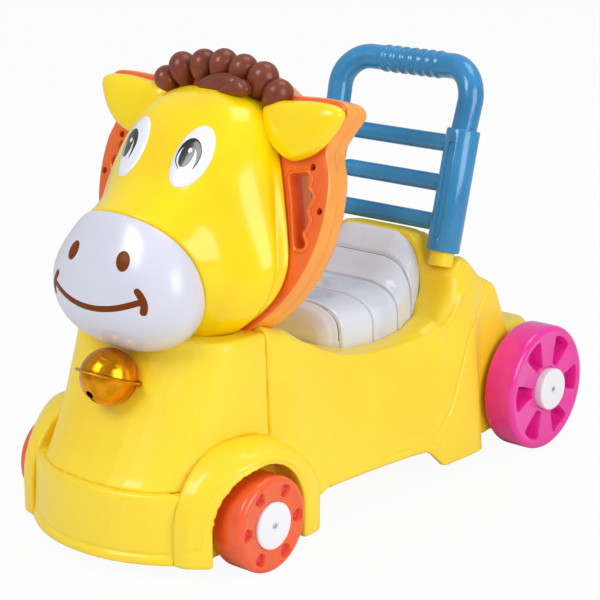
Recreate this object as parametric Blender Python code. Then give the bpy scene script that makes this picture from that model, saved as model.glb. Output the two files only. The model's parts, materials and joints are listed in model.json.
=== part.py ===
"""Horse baby walker: the ride-on and push-along toy as separate solids.

Metres, +Z up, +X the animal's left side, the muzzle towards -Y. The origin is on
the floor under the centre of the toy's box. Each sub-part is one named object.
"""
import math

import bpy
import bmesh
from mathutils import Matrix, Vector

# Overall sizes
LENGTH = 0.6216
WHEELBASE = 0.4458
WALL = 0.003
GAP = 0.0003
FLOOR_CLEARANCE = 0.0145

# Wheels
FRONT_WHEEL_R = 0.0462
FRONT_WHEEL_WIDTH = 0.0365
FRONT_OUTER_X = 0.1497
REAR_WHEEL_R = 0.0680
REAR_WHEEL_WIDTH = 0.0374
REAR_OUTER_X = 0.1492
REAR_AXLE_Y = LENGTH / 2 - REAR_WHEEL_R
FRONT_AXLE_Y = REAR_AXLE_Y - WHEELBASE
WHEEL_SIDES = 32
AXLE_R = 0.0040
BORE_R = 0.00406
AXLE_SIDES = 16
CAP_R = 0.0228
POCKETS = 6
FRONT_WALL_X = 0.1087
REAR_WALL_X = 0.1067
SPACER_R = 0.0090
NUT_R = 0.0060

# Disc behind the head, a plane that leans back
DISC_POINT = Vector((0.0, -0.1276, 0.3350))
DISC_LEAN = math.radians(15.0)
DISC_R = 0.1480
DISC_CENTRE_S = -0.0054
DISC_TOP_R = 0.1515
DISC_TOP_S = -0.0360
DISC_FRONT_DEPTH = 0.0150
DISC_DEPTH = 0.0320

# Handle
HANDLE_X = 0.0850
HANDLE_LEAN = math.radians(14.8)
SLEEVE_FOOT = Vector((HANDLE_X, 0.1340, 0.2300))
SLEEVE_LENGTH = 0.1280
SLEEVE_R = 0.0175
TUBE_R = 0.0133
TUBE_RISE = 0.0640
TUBE_CORNER = 0.0340
POST_R = 0.0128
RUNG_HEIGHTS = (0.0290, 0.0700, 0.1120)
RUNG_HALF = (0.0068, 0.0092)
RUNG_BOW = 0.0100

# Bell
BELL_CENTRE = Vector((0.0, -0.2641, 0.1730))
BELL_R = 0.0270
BELL_LEAN = math.radians(21.4)
BELL_INSIDE = 0.90
BELL_SIDES = 20
BAND_R = 0.0318
BELL_SEAT_R = 0.0328
BELL_SEAT_GAP = 0.0006

YELLOW = "F8D23A"
HEAD_YELLOW = "FFE000"


def colour(text):
    """Turn an sRGB hex colour into linear values."""
    values = [int(text[i:i + 2], 16) / 255 for i in (0, 2, 4)]
    linear = [v / 12.92 if v <= 0.04045 else ((v + 0.055) / 1.055) ** 2.4 for v in values]
    return (*linear, 1.0)


def material(name, text, roughness=0.3, metallic=0.0):
    """Return a Principled material, made once for each name."""
    found = bpy.data.materials.get(name)
    if found:
        return found
    made = bpy.data.materials.new(name)
    made.use_nodes = True
    shader = made.node_tree.nodes["Principled BSDF"]
    shader.inputs["Base Color"].default_value = colour(text)
    shader.inputs["Roughness"].default_value = roughness
    shader.inputs["Metallic"].default_value = metallic
    return made


def solid(name, bm, finish=None):
    """Put a bmesh into a new object of the scene."""
    bmesh.ops.recalc_face_normals(bm, faces=bm.faces)
    mesh = bpy.data.meshes.new(name)
    bm.to_mesh(mesh)
    bm.free()
    made = bpy.data.objects.new(name, mesh)
    bpy.context.scene.collection.objects.link(made)
    if finish:
        mesh.materials.append(finish)
    return made


def dress(obj, finish, parent=None, sharp=35.0):
    """Give an object its material and smooth shading, and hang it on its parent."""
    obj.data.materials.clear()
    obj.data.materials.append(finish)
    obj.data.shade_smooth()
    obj.data.set_sharp_from_angle(angle=math.radians(sharp))
    obj.parent = parent
    return obj


def mirrored_cap(bm, loop):
    """Close a ring that is alike left and right by strips across it."""
    count = len(loop)
    faces = []
    for i in range(count // 2):
        corners = [loop[i], loop[i + 1], loop[(count - i - 1) % count], loop[(count - i) % count]]
        faces.append(bm.faces.new(list(dict.fromkeys(corners))))
    return faces


def skin(rings, strips=False):
    """Close a body over rings of points that all run the same way round."""
    bm = bmesh.new()
    loops = [[bm.verts.new(point) for point in ring] for ring in rings]
    count = len(rings[0])
    for low, high in zip(loops, loops[1:]):
        for i in range(count):
            j = (i + 1) % count
            bm.faces.new((low[i], low[j], high[j], high[i]))
    if strips:
        mirrored_cap(bm, loops[0])
        mirrored_cap(bm, loops[-1])
    else:
        bm.faces.new(list(reversed(loops[0])))
        bm.faces.new(loops[-1])
    return bm


def prism(points, axis, low, high):
    """Extrude a flat outline along x, y or z between two heights."""
    def place(pair, height):
        """Put an outline point in space."""
        if axis == "x":
            return Vector((height, pair[0], pair[1]))
        if axis == "y":
            return Vector((pair[0], height, pair[1]))
        return Vector((pair[0], pair[1], height))
    return skin([[place(p, h) for p in points] for h in (low, high)])


def turned(profile, sides, phase=0.0):
    """Turn a closed profile of (radius, height) about z."""
    rings = []
    for radius, height in profile:
        ring = []
        for i in range(sides):
            a = math.tau * (i + phase) / sides
            ring.append(Vector((radius * math.cos(a), radius * math.sin(a), height)))
        rings.append(ring)
    return rings


def turned_tube(profile, sides, phase=0.0):
    """Turn a closed loop of (radius, height) into a ring-shaped body about z."""
    bm = bmesh.new()
    loops = [[bm.verts.new(p) for p in ring] for ring in turned(profile, sides, phase)]
    for k, low in enumerate(loops):
        high = loops[(k + 1) % len(loops)]
        for i in range(sides):
            j = (i + 1) % sides
            bm.faces.new((low[i], low[j], high[j], high[i]))
    return bm


def bake(obj):
    """Replace an object's mesh by what its modifiers make of it."""
    graph = bpy.context.evaluated_depsgraph_get()
    mesh = bpy.data.meshes.new_from_object(obj.evaluated_get(graph))
    obj.modifiers.clear()
    obj.data = mesh


def combine(target, tool, operation="DIFFERENCE", keep=False):
    """Cut, join or intersect the target with a tool, and drop the tool."""
    modifier = target.modifiers.new("Combine", "BOOLEAN")
    modifier.operation = operation
    modifier.solver = "EXACT"
    modifier.object = tool
    bake(target)
    if not keep:
        bpy.data.objects.remove(tool)


def placed(obj, matrix):
    """Move an object's mesh by a matrix."""
    obj.data.transform(matrix)
    return obj


def grown(obj, amount):
    """Push a form's surface outwards."""
    bm = bmesh.new()
    bm.from_mesh(obj.data)
    bm.normal_update()
    normals = [vert.normal.copy() for vert in bm.verts]
    for vert, normal in zip(bm.verts, normals):
        vert.co += normal * amount * 1.15
    bm.to_mesh(obj.data)
    bm.free()
    return obj


def drop(obj):
    """Delete an object that only helped."""
    bpy.data.objects.remove(obj)


def empty(name, matrix):
    """Make an empty at a place."""
    made = bpy.data.objects.new(name, None)
    bpy.context.scene.collection.objects.link(made)
    made.matrix_world = matrix
    return made


def blend(table, x):
    """Read a smooth curve through (position, value) pairs."""
    if x <= table[0][0]:
        return table[0][1]
    for (x0, y0), (x1, y1) in zip(table, table[1:]):
        if x <= x1:
            t = (x - x0) / (x1 - x0)
            return y0 + (y1 - y0) * t * t * (3 - 2 * t)
    return table[-1][1]


def straight(table, x):
    """Read straight runs between (position, value) pairs."""
    if x <= table[0][0]:
        return table[0][1]
    for (x0, y0), (x1, y1) in zip(table, table[1:]):
        if x <= x1:
            return y0 + (y1 - y0) * (x - x0) / (x1 - x0)
    return table[-1][1]


def power(value, exponent):
    """Raise to a power and keep the sign."""
    return math.copysign(abs(value) ** exponent, value)


# Body shell

HULL_FRONT = -0.2680
HULL_REAR = 0.2830
DECK_Z = 0.0795
DECK_HALF = 0.1082
DECK_REAR = -0.1450
DECK_TAIL_Y = -0.1580
DECK_TAIL_HALF = 0.0970
NECK_REAR_Y = -0.1562
STEP_X = 0.0590

HULL_STATIONS = (-0.1555, -0.1470, -0.1400, -0.1300, -0.1200, -0.0950, -0.0700, -0.0400,
                 0.0000, 0.0450, 0.0850, 0.1070, 0.1150, 0.1220, 0.1280, 0.1340, 0.1480, 0.1560, 0.1640,
                 0.1740, 0.1880, 0.2030, 0.2080, 0.2180, 0.2280, 0.2340, 0.2720, 0.2830)
FOOT_X = ((-0.1470, 0.1085), (-0.1300, 0.1250), (0.1500, 0.1280),
          (0.1560, 0.1265), (0.1720, 0.1065), (0.2680, 0.1065), (0.2830, 0.0950))
RIM_X = ((-0.1555, 0.1000), (0.1000, 0.1000),
         (0.1300, 0.1075), (0.1560, 0.1075), (0.1740, 0.1050), (0.2680, 0.1030), (0.2830, 0.0920))
RIM_Z = ((-0.1555, 0.2150), (-0.1200, 0.2020), (-0.0800, 0.1760), (-0.0420, 0.1610),
         (0.0130, 0.1520), (0.0610, 0.1530), (0.1000, 0.1590), (0.1070, 0.1640), (0.1280, 0.2120),
         (0.1500, 0.2120), (0.1640, 0.2060), (0.1880, 0.1940), (0.2030, 0.1880), (0.2080, 0.1790),
         (0.2280, 0.1370), (0.2340, 0.1310), (0.2830, 0.1290))
MIDDLE_Z = ((0.1000, 0.1590), (0.1200, 0.1600), (0.1290, 0.2400), (0.1350, 0.2450), (0.1480, 0.2450),
            (0.1560, 0.2400), (0.1740, 0.2160), (0.1880, 0.2000), (0.2030, 0.1900))
LOW_EDGE = ((-0.3300, 0.0145), (-0.1130, 0.0145), (-0.1080, 0.0370), (-0.0900, 0.0430), (-0.0300, 0.0480),
            (0.0200, 0.0475), (0.0560, 0.0430), (0.0740, 0.0320), (0.0900, 0.0165), (0.0980, 0.0145),
            (0.1580, 0.0160), (0.1800, 0.0220), (0.2900, 0.0260))


# Share of the wall's thickness by which the inside of a steep part is moved along y
WALL_SHIFT = ((-0.1555, 1.0), (-0.1400, 0.0), (0.1070, 0.0), (0.1150, 1.4), (0.1340, 1.4), (0.1480, 0.0),
              (0.1740, -0.3), (0.2030, -1.0))


def middle_z(y):
    """Height of the top along the centre line."""
    if y < 0.1000 or y > 0.2030:
        return straight(RIM_Z, y)
    return straight(MIDDLE_Z, y)


def hull_half(y):
    """Right half of the body's section at y, from its foot to the centre line."""
    foot, rim = straight(FOOT_X, y), straight(RIM_X, y)
    side_z, top_z = straight(RIM_Z, y), middle_z(y)
    knee = side_z - 0.026
    low = FLOOR_CLEARANCE + 0.55 * (knee - FLOOR_CLEARANCE)
    lean = (foot - rim) * (side_z - low) / max(side_z - FLOOR_CLEARANCE, 0.01)
    return [(foot, FLOOR_CLEARANCE),
            (rim + lean, low),
            (rim + (foot - rim) * 0.16, knee),
            (rim + 0.0005, side_z - 0.0125),
            (rim - 0.0018, side_z - 0.0055),
            (rim - 0.0065, side_z - 0.0014),
            (rim - 0.0130, side_z),
            (STEP_X + 0.0060, side_z),
            (STEP_X + 0.0015, side_z + (top_z - side_z) * 0.60),
            (STEP_X - 0.0060, side_z + (top_z - side_z) * 0.96),
            (0.0300, top_z)]


def moved_in(half, inset):
    """Move a half section inwards by a wall thickness."""
    moved = []
    for i, (x, z) in enumerate(half):
        x0, z0 = half[max(i - 1, 0)]
        x1, z1 = half[min(i + 1, len(half) - 1)]
        run = math.hypot(x1 - x0, z1 - z0) or 1.0
        moved.append((x - inset * (z1 - z0) / run, z + inset * (x1 - x0) / run))
    return moved


def hull_form(inset=0.0, bottom=FLOOR_CLEARANCE):
    """Loft the body's outer form, or its inside at a wall's distance."""
    rings = []
    low, high = HULL_STATIONS[0] + inset, HULL_REAR - inset
    for y in HULL_STATIONS:
        half = moved_in(hull_half(y), inset) if inset else hull_half(y)
        half[0] = (half[0][0], bottom)
        place = min(max(y + inset * straight(WALL_SHIFT, y), low), high)
        right = [Vector((x, place, z)) for x, z in half]
        left = [Vector((-x, place, z)) for x, z in reversed(half)]
        rings.append(right + left)
    return solid("hull_form", skin(rings))


def deck_form(inset=0.0, bottom=FLOOR_CLEARANCE):
    """Low front deck that carries the neck and the front axle."""
    half, front, rear, cut = DECK_HALF - inset, HULL_FRONT + inset, DECK_REAR + inset, 0.0060
    tail = DECK_TAIL_HALF if inset else half
    outline = [(tail, rear), (-tail, rear), (-tail, DECK_TAIL_Y), (-half, DECK_TAIL_Y - 0.0030),
               (-half, front + cut), (-half + cut, front), (half - cut, front), (half, front + cut),
               (half, DECK_TAIL_Y - 0.0030), (tail, DECK_TAIL_Y)]
    return solid("deck_form", prism(outline, "z", bottom, DECK_Z - inset))


FENDER_RINGS = ((0.0950, 0.0765, 0.0900, 0.0735), (0.1100, 0.0725, 0.0895, 0.0730), (0.1185, 0.0655, 0.0888, 0.0722),
                (0.1245, 0.0585, 0.0875, 0.0708), (0.1320, 0.0480, 0.0845, 0.0680), (0.1375, 0.0360, 0.0790, 0.0640),
                (0.1400, 0.0250, 0.0700, 0.0600))
FENDER_STEPS = 9
ARCH_R = 0.0555
WELL_X = 0.1088


def fender_ring(x, front, rear, rise, inset, bottom):
    """One outline of the mudguard: a front quarter, a rear quarter and two legs."""
    points = [(x, FRONT_AXLE_Y - front + inset, bottom)]
    for reach, sign in ((front, -1.0), (rear, 1.0)):
        for k in range(FENDER_STEPS):
            t = k / FENDER_STEPS if sign < 0 else (k + 1) / FENDER_STEPS
            a = t * math.pi / 2 if sign < 0 else (1 - t) * math.pi / 2
            if sign > 0 and k == 0:
                points.append((x, FRONT_AXLE_Y, FRONT_WHEEL_R + rise - inset))
            points.append((x, FRONT_AXLE_Y + sign * (reach - inset) * math.cos(a),
                           FRONT_WHEEL_R + (rise - inset) * math.sin(a)))
    points.append((x, FRONT_AXLE_Y + rear - inset, bottom))
    return [Vector(p) for p in points]


def fender_form(side, inset=0.0, bottom=FLOOR_CLEARANCE):
    """Mudguard form on one side of the body."""
    rings = []
    for x, front, rear, rise in FENDER_RINGS:
        place = x + inset if x == FENDER_RINGS[0][0] else x - inset
        rings.append(fender_ring(place, front, rear, rise, inset, bottom))
    form = solid("fender_form", skin(rings))
    if side < 0:
        form.data.transform(Matrix.Scale(-1, 4, Vector((1, 0, 0))))
        form.data.flip_normals()
    return form


def well_form(side):
    """Space inside the mudguard for the wheel, ending behind it at the arch's edge."""
    rings = []
    for x, front, rear, rise in FENDER_RINGS:
        reach = min(rear, ARCH_R - 0.0010 + WALL)
        rings.append(fender_ring(max(x - WALL, WELL_X), front, reach, rise, WALL, -0.03))
    rings = [rings[0]] + [ring for ring in rings[1:] if ring[0].x > WELL_X + 1e-5]
    form = solid("well_form", skin(rings))
    if side < 0:
        form.data.transform(Matrix.Scale(-1, 4, Vector((1, 0, 0))))
        form.data.flip_normals()
    return form


def rod(name, start, end, radius, sides=AXLE_SIDES):
    """A plain rod between two points."""
    axis = Vector(end) - Vector(start)
    rings = turned([(radius, 0.0), (radius, axis.length)], sides, 0.5)
    turn = axis.to_track_quat("Z", "Y").to_matrix().to_4x4()
    made = solid(name, skin(rings))
    return placed(made, Matrix.Translation(start) @ turn)


def arch_cutter(side):
    """The wheel's opening in the mudguard's side face, open below."""
    steps = 20
    outline = [(FRONT_AXLE_Y - ARCH_R, -0.02)]
    for k in range(steps + 1):
        a = math.pi - math.pi * k / steps
        outline.append((FRONT_AXLE_Y + ARCH_R * math.cos(a), FRONT_WHEEL_R + ARCH_R * math.sin(a)))
    outline.append((FRONT_AXLE_Y + ARCH_R, -0.02))
    low, high = sorted((side * 0.1090, side * 0.1600))
    return solid("arch_cutter", prism(outline, "x", low, high))


def edge_cutter(rise=0.0, bottom=-0.03):
    """Everything under the body's waved lower edge."""
    top = [(y, z + rise) for y, z in LOW_EDGE]
    outline = [(top[0][0], bottom)] + top + [(top[-1][0], bottom)]
    return solid("edge_cutter", prism(outline, "x", -0.2, 0.2))


def build_body(finish, disc_form, seat_tool):
    """Main shell: hull and mudguards, hollow and open below."""
    body = hull_form(0.0, FLOOR_CLEARANCE - 0.0100)
    combine(body, deck_form(0.0, FLOOR_CLEARANCE - 0.0095), "UNION")
    for side in (-1, 1):
        combine(body, fender_form(side, 0.0, FLOOR_CLEARANCE - 0.0090), "UNION")
    inside = hull_form(WALL, -0.03)
    combine(inside, seat_form(WALL + GAP))
    combine(body, inside)
    combine(body, deck_form(WALL, -0.031))
    for side in (-1, 1):
        combine(body, well_form(side))
        combine(body, arch_cutter(side))
    for side in (-1, 1):
        for y, z, width in ((FRONT_AXLE_Y, FRONT_WHEEL_R, 0.1085), (REAR_AXLE_Y, REAR_WHEEL_R, 0.1065)):
            ends = sorted((side * (width - 0.006), side * (width + 0.004)))
            combine(body, rod("hole", (ends[0], y, z), (ends[1], y, z), AXLE_R + GAP))
    combine(body, edge_cutter())
    combine(body, seat_tool)
    combine(body, disc_form, keep=True)
    body.name = "body_shell"
    return dress(body, finish)


# Neck

NECK_RINGS = ((0.0803, 0.1060, -0.2980, 2.6), (0.0900, 0.1045, -0.2910, 2.6), (0.1100, 0.1025, -0.2790, 2.6),
              (0.1400, 0.1010, -0.2610, 2.7), (0.1730, 0.1000, -0.2440, 2.8), (0.1960, 0.0990, -0.2340, 2.8),
              (0.2060, 0.0980, -0.2310, 2.8), (0.2090, 0.0950, -0.2280, 2.8))
NECK_STEPS = 9
NECK_SPRING_Y = -0.1880


def neck_ring(z, width, front, exponent, inset):
    """Plan outline of the neck at one height: a rounded bow with straight rear sides."""
    reach = NECK_SPRING_Y - front - inset
    wide = width - inset
    points = [Vector((wide, NECK_REAR_Y - GAP - inset, z))]
    for k in range(2 * NECK_STEPS + 1):
        a = math.pi * k / (2 * NECK_STEPS)
        x = wide * power(math.cos(a), 2 / exponent)
        y = NECK_SPRING_Y - reach * power(math.sin(a), 2 / exponent)
        points.append(Vector((x, y, z)))
    points.append(Vector((-wide, NECK_REAR_Y - GAP - inset, z)))
    return points


def neck_form(inset=0.0, low=None, high=None):
    """Loft the neck's form between its base and top."""
    rings = []
    for z, width, front, exponent in NECK_RINGS:
        if high is None or z < high:
            rings.append(neck_ring(z if rings or low is None else low, width, front, exponent, inset))
    if high is not None:
        shape = [straight([(ring[0], ring[k]) for ring in NECK_RINGS], high) for k in (1, 2, 3)]
        rings.append(neck_ring(high, *shape, inset))
    return solid("neck_form", skin(rings))


def build_neck(finish, head_tool, muzzle_tool, collar_tool, disc_form, bell_tool):
    """Chest shell, hollow from below, seated under the head."""
    neck = neck_form()
    inside = neck_form(WALL, 0.05, 0.1850)
    combine(inside, ellipsoid("pad", BELL_CENTRE, (BELL_SEAT_R + WALL,) * 3, 16, 10))
    combine(neck, inside)
    for side in (-1, 1):
        combine(neck, fender_form(side, -GAP, -0.01))
    combine(neck, head_tool, keep=True)
    combine(neck, muzzle_tool)
    combine(neck, collar_tool)
    combine(neck, disc_form, keep=True)
    combine(neck, bell_tool)
    neck.name = "neck_shell"
    return dress(neck, finish)


# Bumper

BUMPER_HALF = 0.0985
BUMPER_TOP = 0.0800
BUMPER_FRONT = -LENGTH / 2
BUMPER_SWEEP = 0.0350
BUMPER_STEPS = 16
BUMPER_RINGS = ((FLOOR_CLEARANCE, 0.0), (FLOOR_CLEARANCE + 0.0060, 0.0), (FLOOR_CLEARANCE + 0.0085, 0.0022),
                (BUMPER_TOP - 0.0040, 0.0060), (BUMPER_TOP - 0.0008, 0.0076), (BUMPER_TOP, 0.0100))


def bumper_form(inset=0.0, bottom=FLOOR_CLEARANCE, top=BUMPER_TOP):
    """Bow-shaped block: flat in the middle, swept back at its ends."""
    rings = []
    half = BUMPER_HALF - inset
    for z, offset in BUMPER_RINGS:
        z = bottom if z == FLOOR_CLEARANCE else min(z, top)
        if rings and z <= rings[-1][0].z:
            continue
        ring = [Vector((half, HULL_FRONT - GAP - inset, z)), Vector((-half, HULL_FRONT - GAP - inset, z))]
        for k in range(BUMPER_STEPS + 1):
            x = -half + 2 * half * k / BUMPER_STEPS
            sweep = BUMPER_SWEEP * abs(x / BUMPER_HALF) ** 2.2
            y = BUMPER_FRONT + offset + inset + sweep
            ring.append(Vector((x, min(y, HULL_FRONT - GAP - inset - 0.0005), z)))
        rings.append(ring)
    return solid("bumper_form", skin(rings))


def build_bumper(finish):
    """Bow front piece with a ledge on top and a lip below, hollow from below."""
    bumper = bumper_form()
    combine(bumper, bumper_form(WALL, -0.02, BUMPER_TOP - WALL))
    for side in (-1, 1):
        combine(bumper, fender_form(side, -GAP, -0.01))
    bumper.name = "bumper_shell"
    return dress(bumper, finish)


# Base plate with axle saddles

PLATE_HALF = 0.0960
PLATE_Z = 0.0300
PLATE_THICK = 0.0030
SADDLE_X = (-0.0700, 0.0700)


def build_base_plate(finish):
    """Underside plate with four saddles that carry the axles."""
    half, front, rear, corner = PLATE_HALF, HULL_FRONT + 0.0080, HULL_REAR - 0.0120, 0.0120
    outline = []
    for cx, cy, start in ((half - corner, rear - corner, 0.0), (-half + corner, rear - corner, 90.0),
                          (-half + corner, front + corner, 180.0), (half - corner, front + corner, 270.0)):
        for k in range(4):
            a = math.radians(start + 30.0 * k)
            outline.append((cx + corner * math.cos(a), cy + corner * math.sin(a)))
    plate = solid("base_plate", prism(outline, "z", PLATE_Z, PLATE_Z + PLATE_THICK))
    for y, z in ((FRONT_AXLE_Y, FRONT_WHEEL_R), (REAR_AXLE_Y, REAR_WHEEL_R)):
        for x in SADDLE_X:
            rib = [(y - 0.016, PLATE_Z + 0.001), (y + 0.016, PLATE_Z + 0.001), (y + 0.009, z + 0.008),
                   (y - 0.009, z + 0.008)]
            combine(plate, solid("rib", prism(rib, "x", x - 0.003, x + 0.003)), "UNION")
        combine(plate, rod("hole", (-0.08, y, z), (0.08, y, z), AXLE_R + GAP))
    return dress(plate, finish)


# Seat

SEAT_FLOOR = 0.1500
SEAT_FRONT = -0.0250
SEAT_REAR = 0.1270
SEAT_HALF = ((-0.0250, 0.0480), (-0.0200, 0.0600), (-0.0080, 0.0700), (0.0300, 0.0745), (0.0700, 0.0730),
             (0.1000, 0.0685), (0.1150, 0.0670), (0.1270, 0.0640))
SEAT_TOP = ((-0.0250, 0.1750), (-0.0210, 0.1900), (-0.0110, 0.1975), (0.0500, 0.1975), (0.0700, 0.1985),
            (0.0880, 0.2070), (0.1050, 0.2240), (0.1170, 0.2400), (0.1230, 0.2470), (0.1270, 0.2440))
SEAT_STATIONS = (-0.0250, -0.0215, -0.0160, -0.0100, 0.0200, 0.0500, 0.0700, 0.0820, 0.0940, 0.1050, 0.1150,
                 0.1220, 0.1270)
GROOVE_YS = (-0.0110, 0.0343, 0.0773, 0.1053)
SEAT_EXPONENT = 3.2


def seat_ring(y, grow=0.0):
    """Section of the seat: flat below, a crowned top that drops square at the sides."""
    half = blend(SEAT_HALF, y) + grow
    top = straight(SEAT_TOP, y)
    rise = top - SEAT_FLOOR - 0.012
    points = [Vector((half, y, SEAT_FLOOR - grow))]
    for k in range(13):
        a = math.pi * k / 12
        crown = min(1.0, 1.03 * power(math.sin(a), 2 / SEAT_EXPONENT))
        points.append(Vector((half * power(math.cos(a), 2 / SEAT_EXPONENT), y, SEAT_FLOOR + 0.012 + rise * crown)))
    points.append(Vector((-half, y, SEAT_FLOOR - grow)))
    return points


def seat_form(grow=0.0):
    """Loft the seat's form."""
    rings = [seat_ring(y, grow) for y in SEAT_STATIONS]
    for point in rings[0]:
        point.y -= grow
    for point in rings[-1]:
        point.y += grow
    return solid("seat_form", skin(rings))


def groove(y):
    """A shallow cross groove that follows the seat's section."""
    outer = [p + Vector((0, 0, 0)) for p in seat_ring(y, 0.004)[1:-1]]
    inner = [Vector((p.x * 0.978, p.y, p.z - 0.0050)) for p in outer]
    for point in (outer[0], outer[-1], inner[0], inner[-1]):
        point.z = max(point.z, SEAT_FLOOR + 0.0180)
    loop = outer + list(reversed(inner))
    low = [p + Vector((0, -0.0010, 0)) for p in loop]
    high = [p + Vector((0, 0.0010, 0)) for p in loop]
    return solid("groove", skin([low, high]))


def build_seat(finish):
    """Saddle seat with its four cross grooves."""
    seat = seat_form()
    for y in GROOVE_YS:
        combine(seat, groove(y))
    seat.name = "seat"
    return dress(seat, finish)


# Disc and head, drawn in the leaning plane: x across, y up the plane, z forward

LOBE = ((0.1370, 0.0480), (0.1505, 0.0745), (0.1545, 0.0830), (0.1500, 0.0905), (0.1400, 0.0935), (0.1180, 0.0940),
        (0.0950, 0.0930))


def disc_outline(grow=0.0):
    """Outline of the disc with its two ear lobes, anticlockwise from the right."""
    right = []
    for k in range(13):
        a = math.radians(-90.0 + 8.5 * k)
        right.append(((DISC_R + grow) * math.cos(a), DISC_CENTRE_S + (DISC_R + grow) * math.sin(a)))
    middle = Vector((0.1100, 0.0700))
    for x, y in LOBE:
        away = (Vector((x, y)) - middle).normalized() * grow
        right.append((x + away.x, y + away.y))
    for k in range(5):
        a = math.radians(59.0 + 31.0 * k / 4)
        right.append(((DISC_TOP_R + grow) * math.cos(a), DISC_TOP_S + (DISC_TOP_R + grow) * math.sin(a)))
    left = [(-x, y) for x, y in reversed(right[1:-1])]
    return right + left


def disc_slab(low, high, low_grow, high_grow, round_off=0.0025):
    """A slab of the disc between two depths, softened at the face that shows."""
    def ring(grow, z):
        """Outline at one depth."""
        return [Vector((x, y, z)) for x, y in disc_outline(grow)]
    rings = [ring(low_grow, low)]
    if low_grow < high_grow:
        rings.append(ring(high_grow - round_off * 0.3, low + round_off))
        rings.append(ring(high_grow, low + 3 * round_off))
        rings.append(ring(high_grow, high))
    else:
        rings.append(ring(low_grow, high - 3 * round_off))
        rings.append(ring(low_grow - round_off * 0.3, high - round_off))
        rings.append(ring(high_grow, high))
    return solid("disc_slab", skin(rings))


GRIP_INNER = ((0.0960, 0.0240), (0.1170, -0.0470))
GRIP_OUTER_X = 0.1315
GRIP_WAVES = 3


def grip_outline(side, grow=0.0):
    """Finger-grip hole: a straight inner edge and a waved outer edge."""
    (x0, s0), (x1, s1) = GRIP_INNER
    points = []
    steps = 12
    for k in range(steps + 1):
        t = k / steps
        s = s0 + 0.0050 - (s0 - s1 + 0.0090) * t
        x = 0.1215 + 0.0080 * math.sin(math.pi * min(t * 1.1, 1.0)) + 0.0020 * math.cos(GRIP_WAVES * math.tau * t)
        points.append((x + grow, s + grow * (1 - 2 * t)))
    points.append((x1 - grow, s1 - grow * 0.6))
    points.append((x0 - grow, s0 + grow * 0.6))
    if side < 0:
        points = [(-x, s) for x, s in reversed(points)]
    return points


SCREW_PLACES = ((0.1407, -0.0085), (0.1222, 0.0400))


def build_disc(front_finish, rear_finish, screw_finish, head_tool, frame):
    """Front and rear shells of the disc with grip holes, raised edges and screws."""
    front = disc_slab(-DISC_FRONT_DEPTH, 0.0, 0.0, -0.0025)
    rear = disc_slab(-DISC_DEPTH, -DISC_FRONT_DEPTH - GAP, -0.0050, 0.0)
    dish = disc_slab(-DISC_DEPTH - 0.01, -DISC_DEPTH + 0.0050, -0.0180, -0.0180 - 0.0001)
    combine(rear, dish)
    for side in (-1, 1):
        rim = solid("rim", prism(grip_outline(side, 0.0042), "z", -0.004, 0.0018))
        combine(rim, head_tool, keep=True)
        combine(front, rim, "UNION")
        for shell in (front, rear):
            combine(shell, solid("hole", prism(grip_outline(side), "z", -0.05, 0.02)))
    for side, word in ((1, "left"), (-1, "right")):
        for (x, s), level in zip(SCREW_PLACES, ("lower", "upper")):
            combine(front, rod("bore", (side * x, s, -0.0100), (side * x, s, 0.0050), 0.0032, 12))
            screw = rod(f"disc_screw_{level}_{word}", (side * x, s, -0.0100 + GAP), (side * x, s, -0.0070), 0.0028, 12)
            dress(screw, screw_finish, frame)
    drop(head_tool)
    front.name, rear.name = "disc_front_shell", "disc_rear_shell"
    dress(front, front_finish, frame)
    dress(rear, rear_finish, frame)
    return front, rear


def ellipsoid(name, centre, radii, segments, rings):
    """An egg-like ball."""
    bm = bmesh.new()
    bmesh.ops.create_uvsphere(bm, u_segments=segments, v_segments=rings, radius=1.0)
    for vert in bm.verts:
        vert.co = Vector(centre) + Vector([vert.co[i] * radii[i] for i in range(3)])
    return solid(name, bm)


HEAD_OUTLINE = ((0.0, 1.0), (0.17, 0.995), (0.34, 0.965), (0.50, 0.895), (0.60, 0.745), (0.71, 0.557), (0.81, 0.290),
                (0.917, -0.016), (0.985, -0.230), (1.0, -0.350), (0.975, -0.504), (0.884, -0.666), (0.711, -0.833),
                (0.520, -0.925), (0.34, -0.970), (0.17, -0.992), (0.0, -1.0))
# Each head ring: forward and up of its top, forward and up of its foot, half width, sag, share of pear outline
HEAD_RINGS = ((0.0003, 0.0920, 0.0003, -0.1400, 0.1183, 0.0, 1.0),
              (0.0190, 0.0885, 0.0130, -0.1515, 0.1165, 0.0, 0.95),
              (0.0350, 0.0755, 0.0210, -0.1545, 0.1120, 0.0020, 0.85),
              (0.0520, 0.0575, 0.0280, -0.1570, 0.1060, 0.0050, 0.72),
              (0.0676, 0.0378, 0.0340, -0.1580, 0.1000, 0.0080, 0.58),
              (0.0785, 0.0204, 0.0375, -0.1585, 0.0950, 0.0105, 0.44),
              (0.0915, -0.0080, 0.0400, -0.1590, 0.0870, 0.0135, 0.25),
              (0.1020, -0.0260, 0.0412, -0.1595, 0.0810, 0.0155, 0.10),
              (0.1165, -0.0400, 0.0420, -0.1590, 0.0755, 0.0165, 0.0))
COLLAR_REACH = 0.0040
COLLAR_GROW = 0.0016
# Each muzzle ring: forward of the joint, its top, its foot, half width, sag
MUZZLE_RINGS = ((0.0005, 0.0702, -0.0702, 0.0755, 0.0165), (0.0014, 0.0709, -0.0707, 0.0766, 0.0165), (0.0060, 0.0685, -0.0685, 0.0772, 0.0163),
                (0.0160, 0.0615, -0.0630, 0.0755, 0.0155), (0.0280, 0.0525, -0.0545, 0.0705, 0.0130),
                (0.0400, 0.0415, -0.0445, 0.0602, 0.0090), (0.0500, 0.0275, -0.0305, 0.0440, 0.0050),
                (0.0560, 0.0120, -0.0150, 0.0220, 0.0015))


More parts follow.
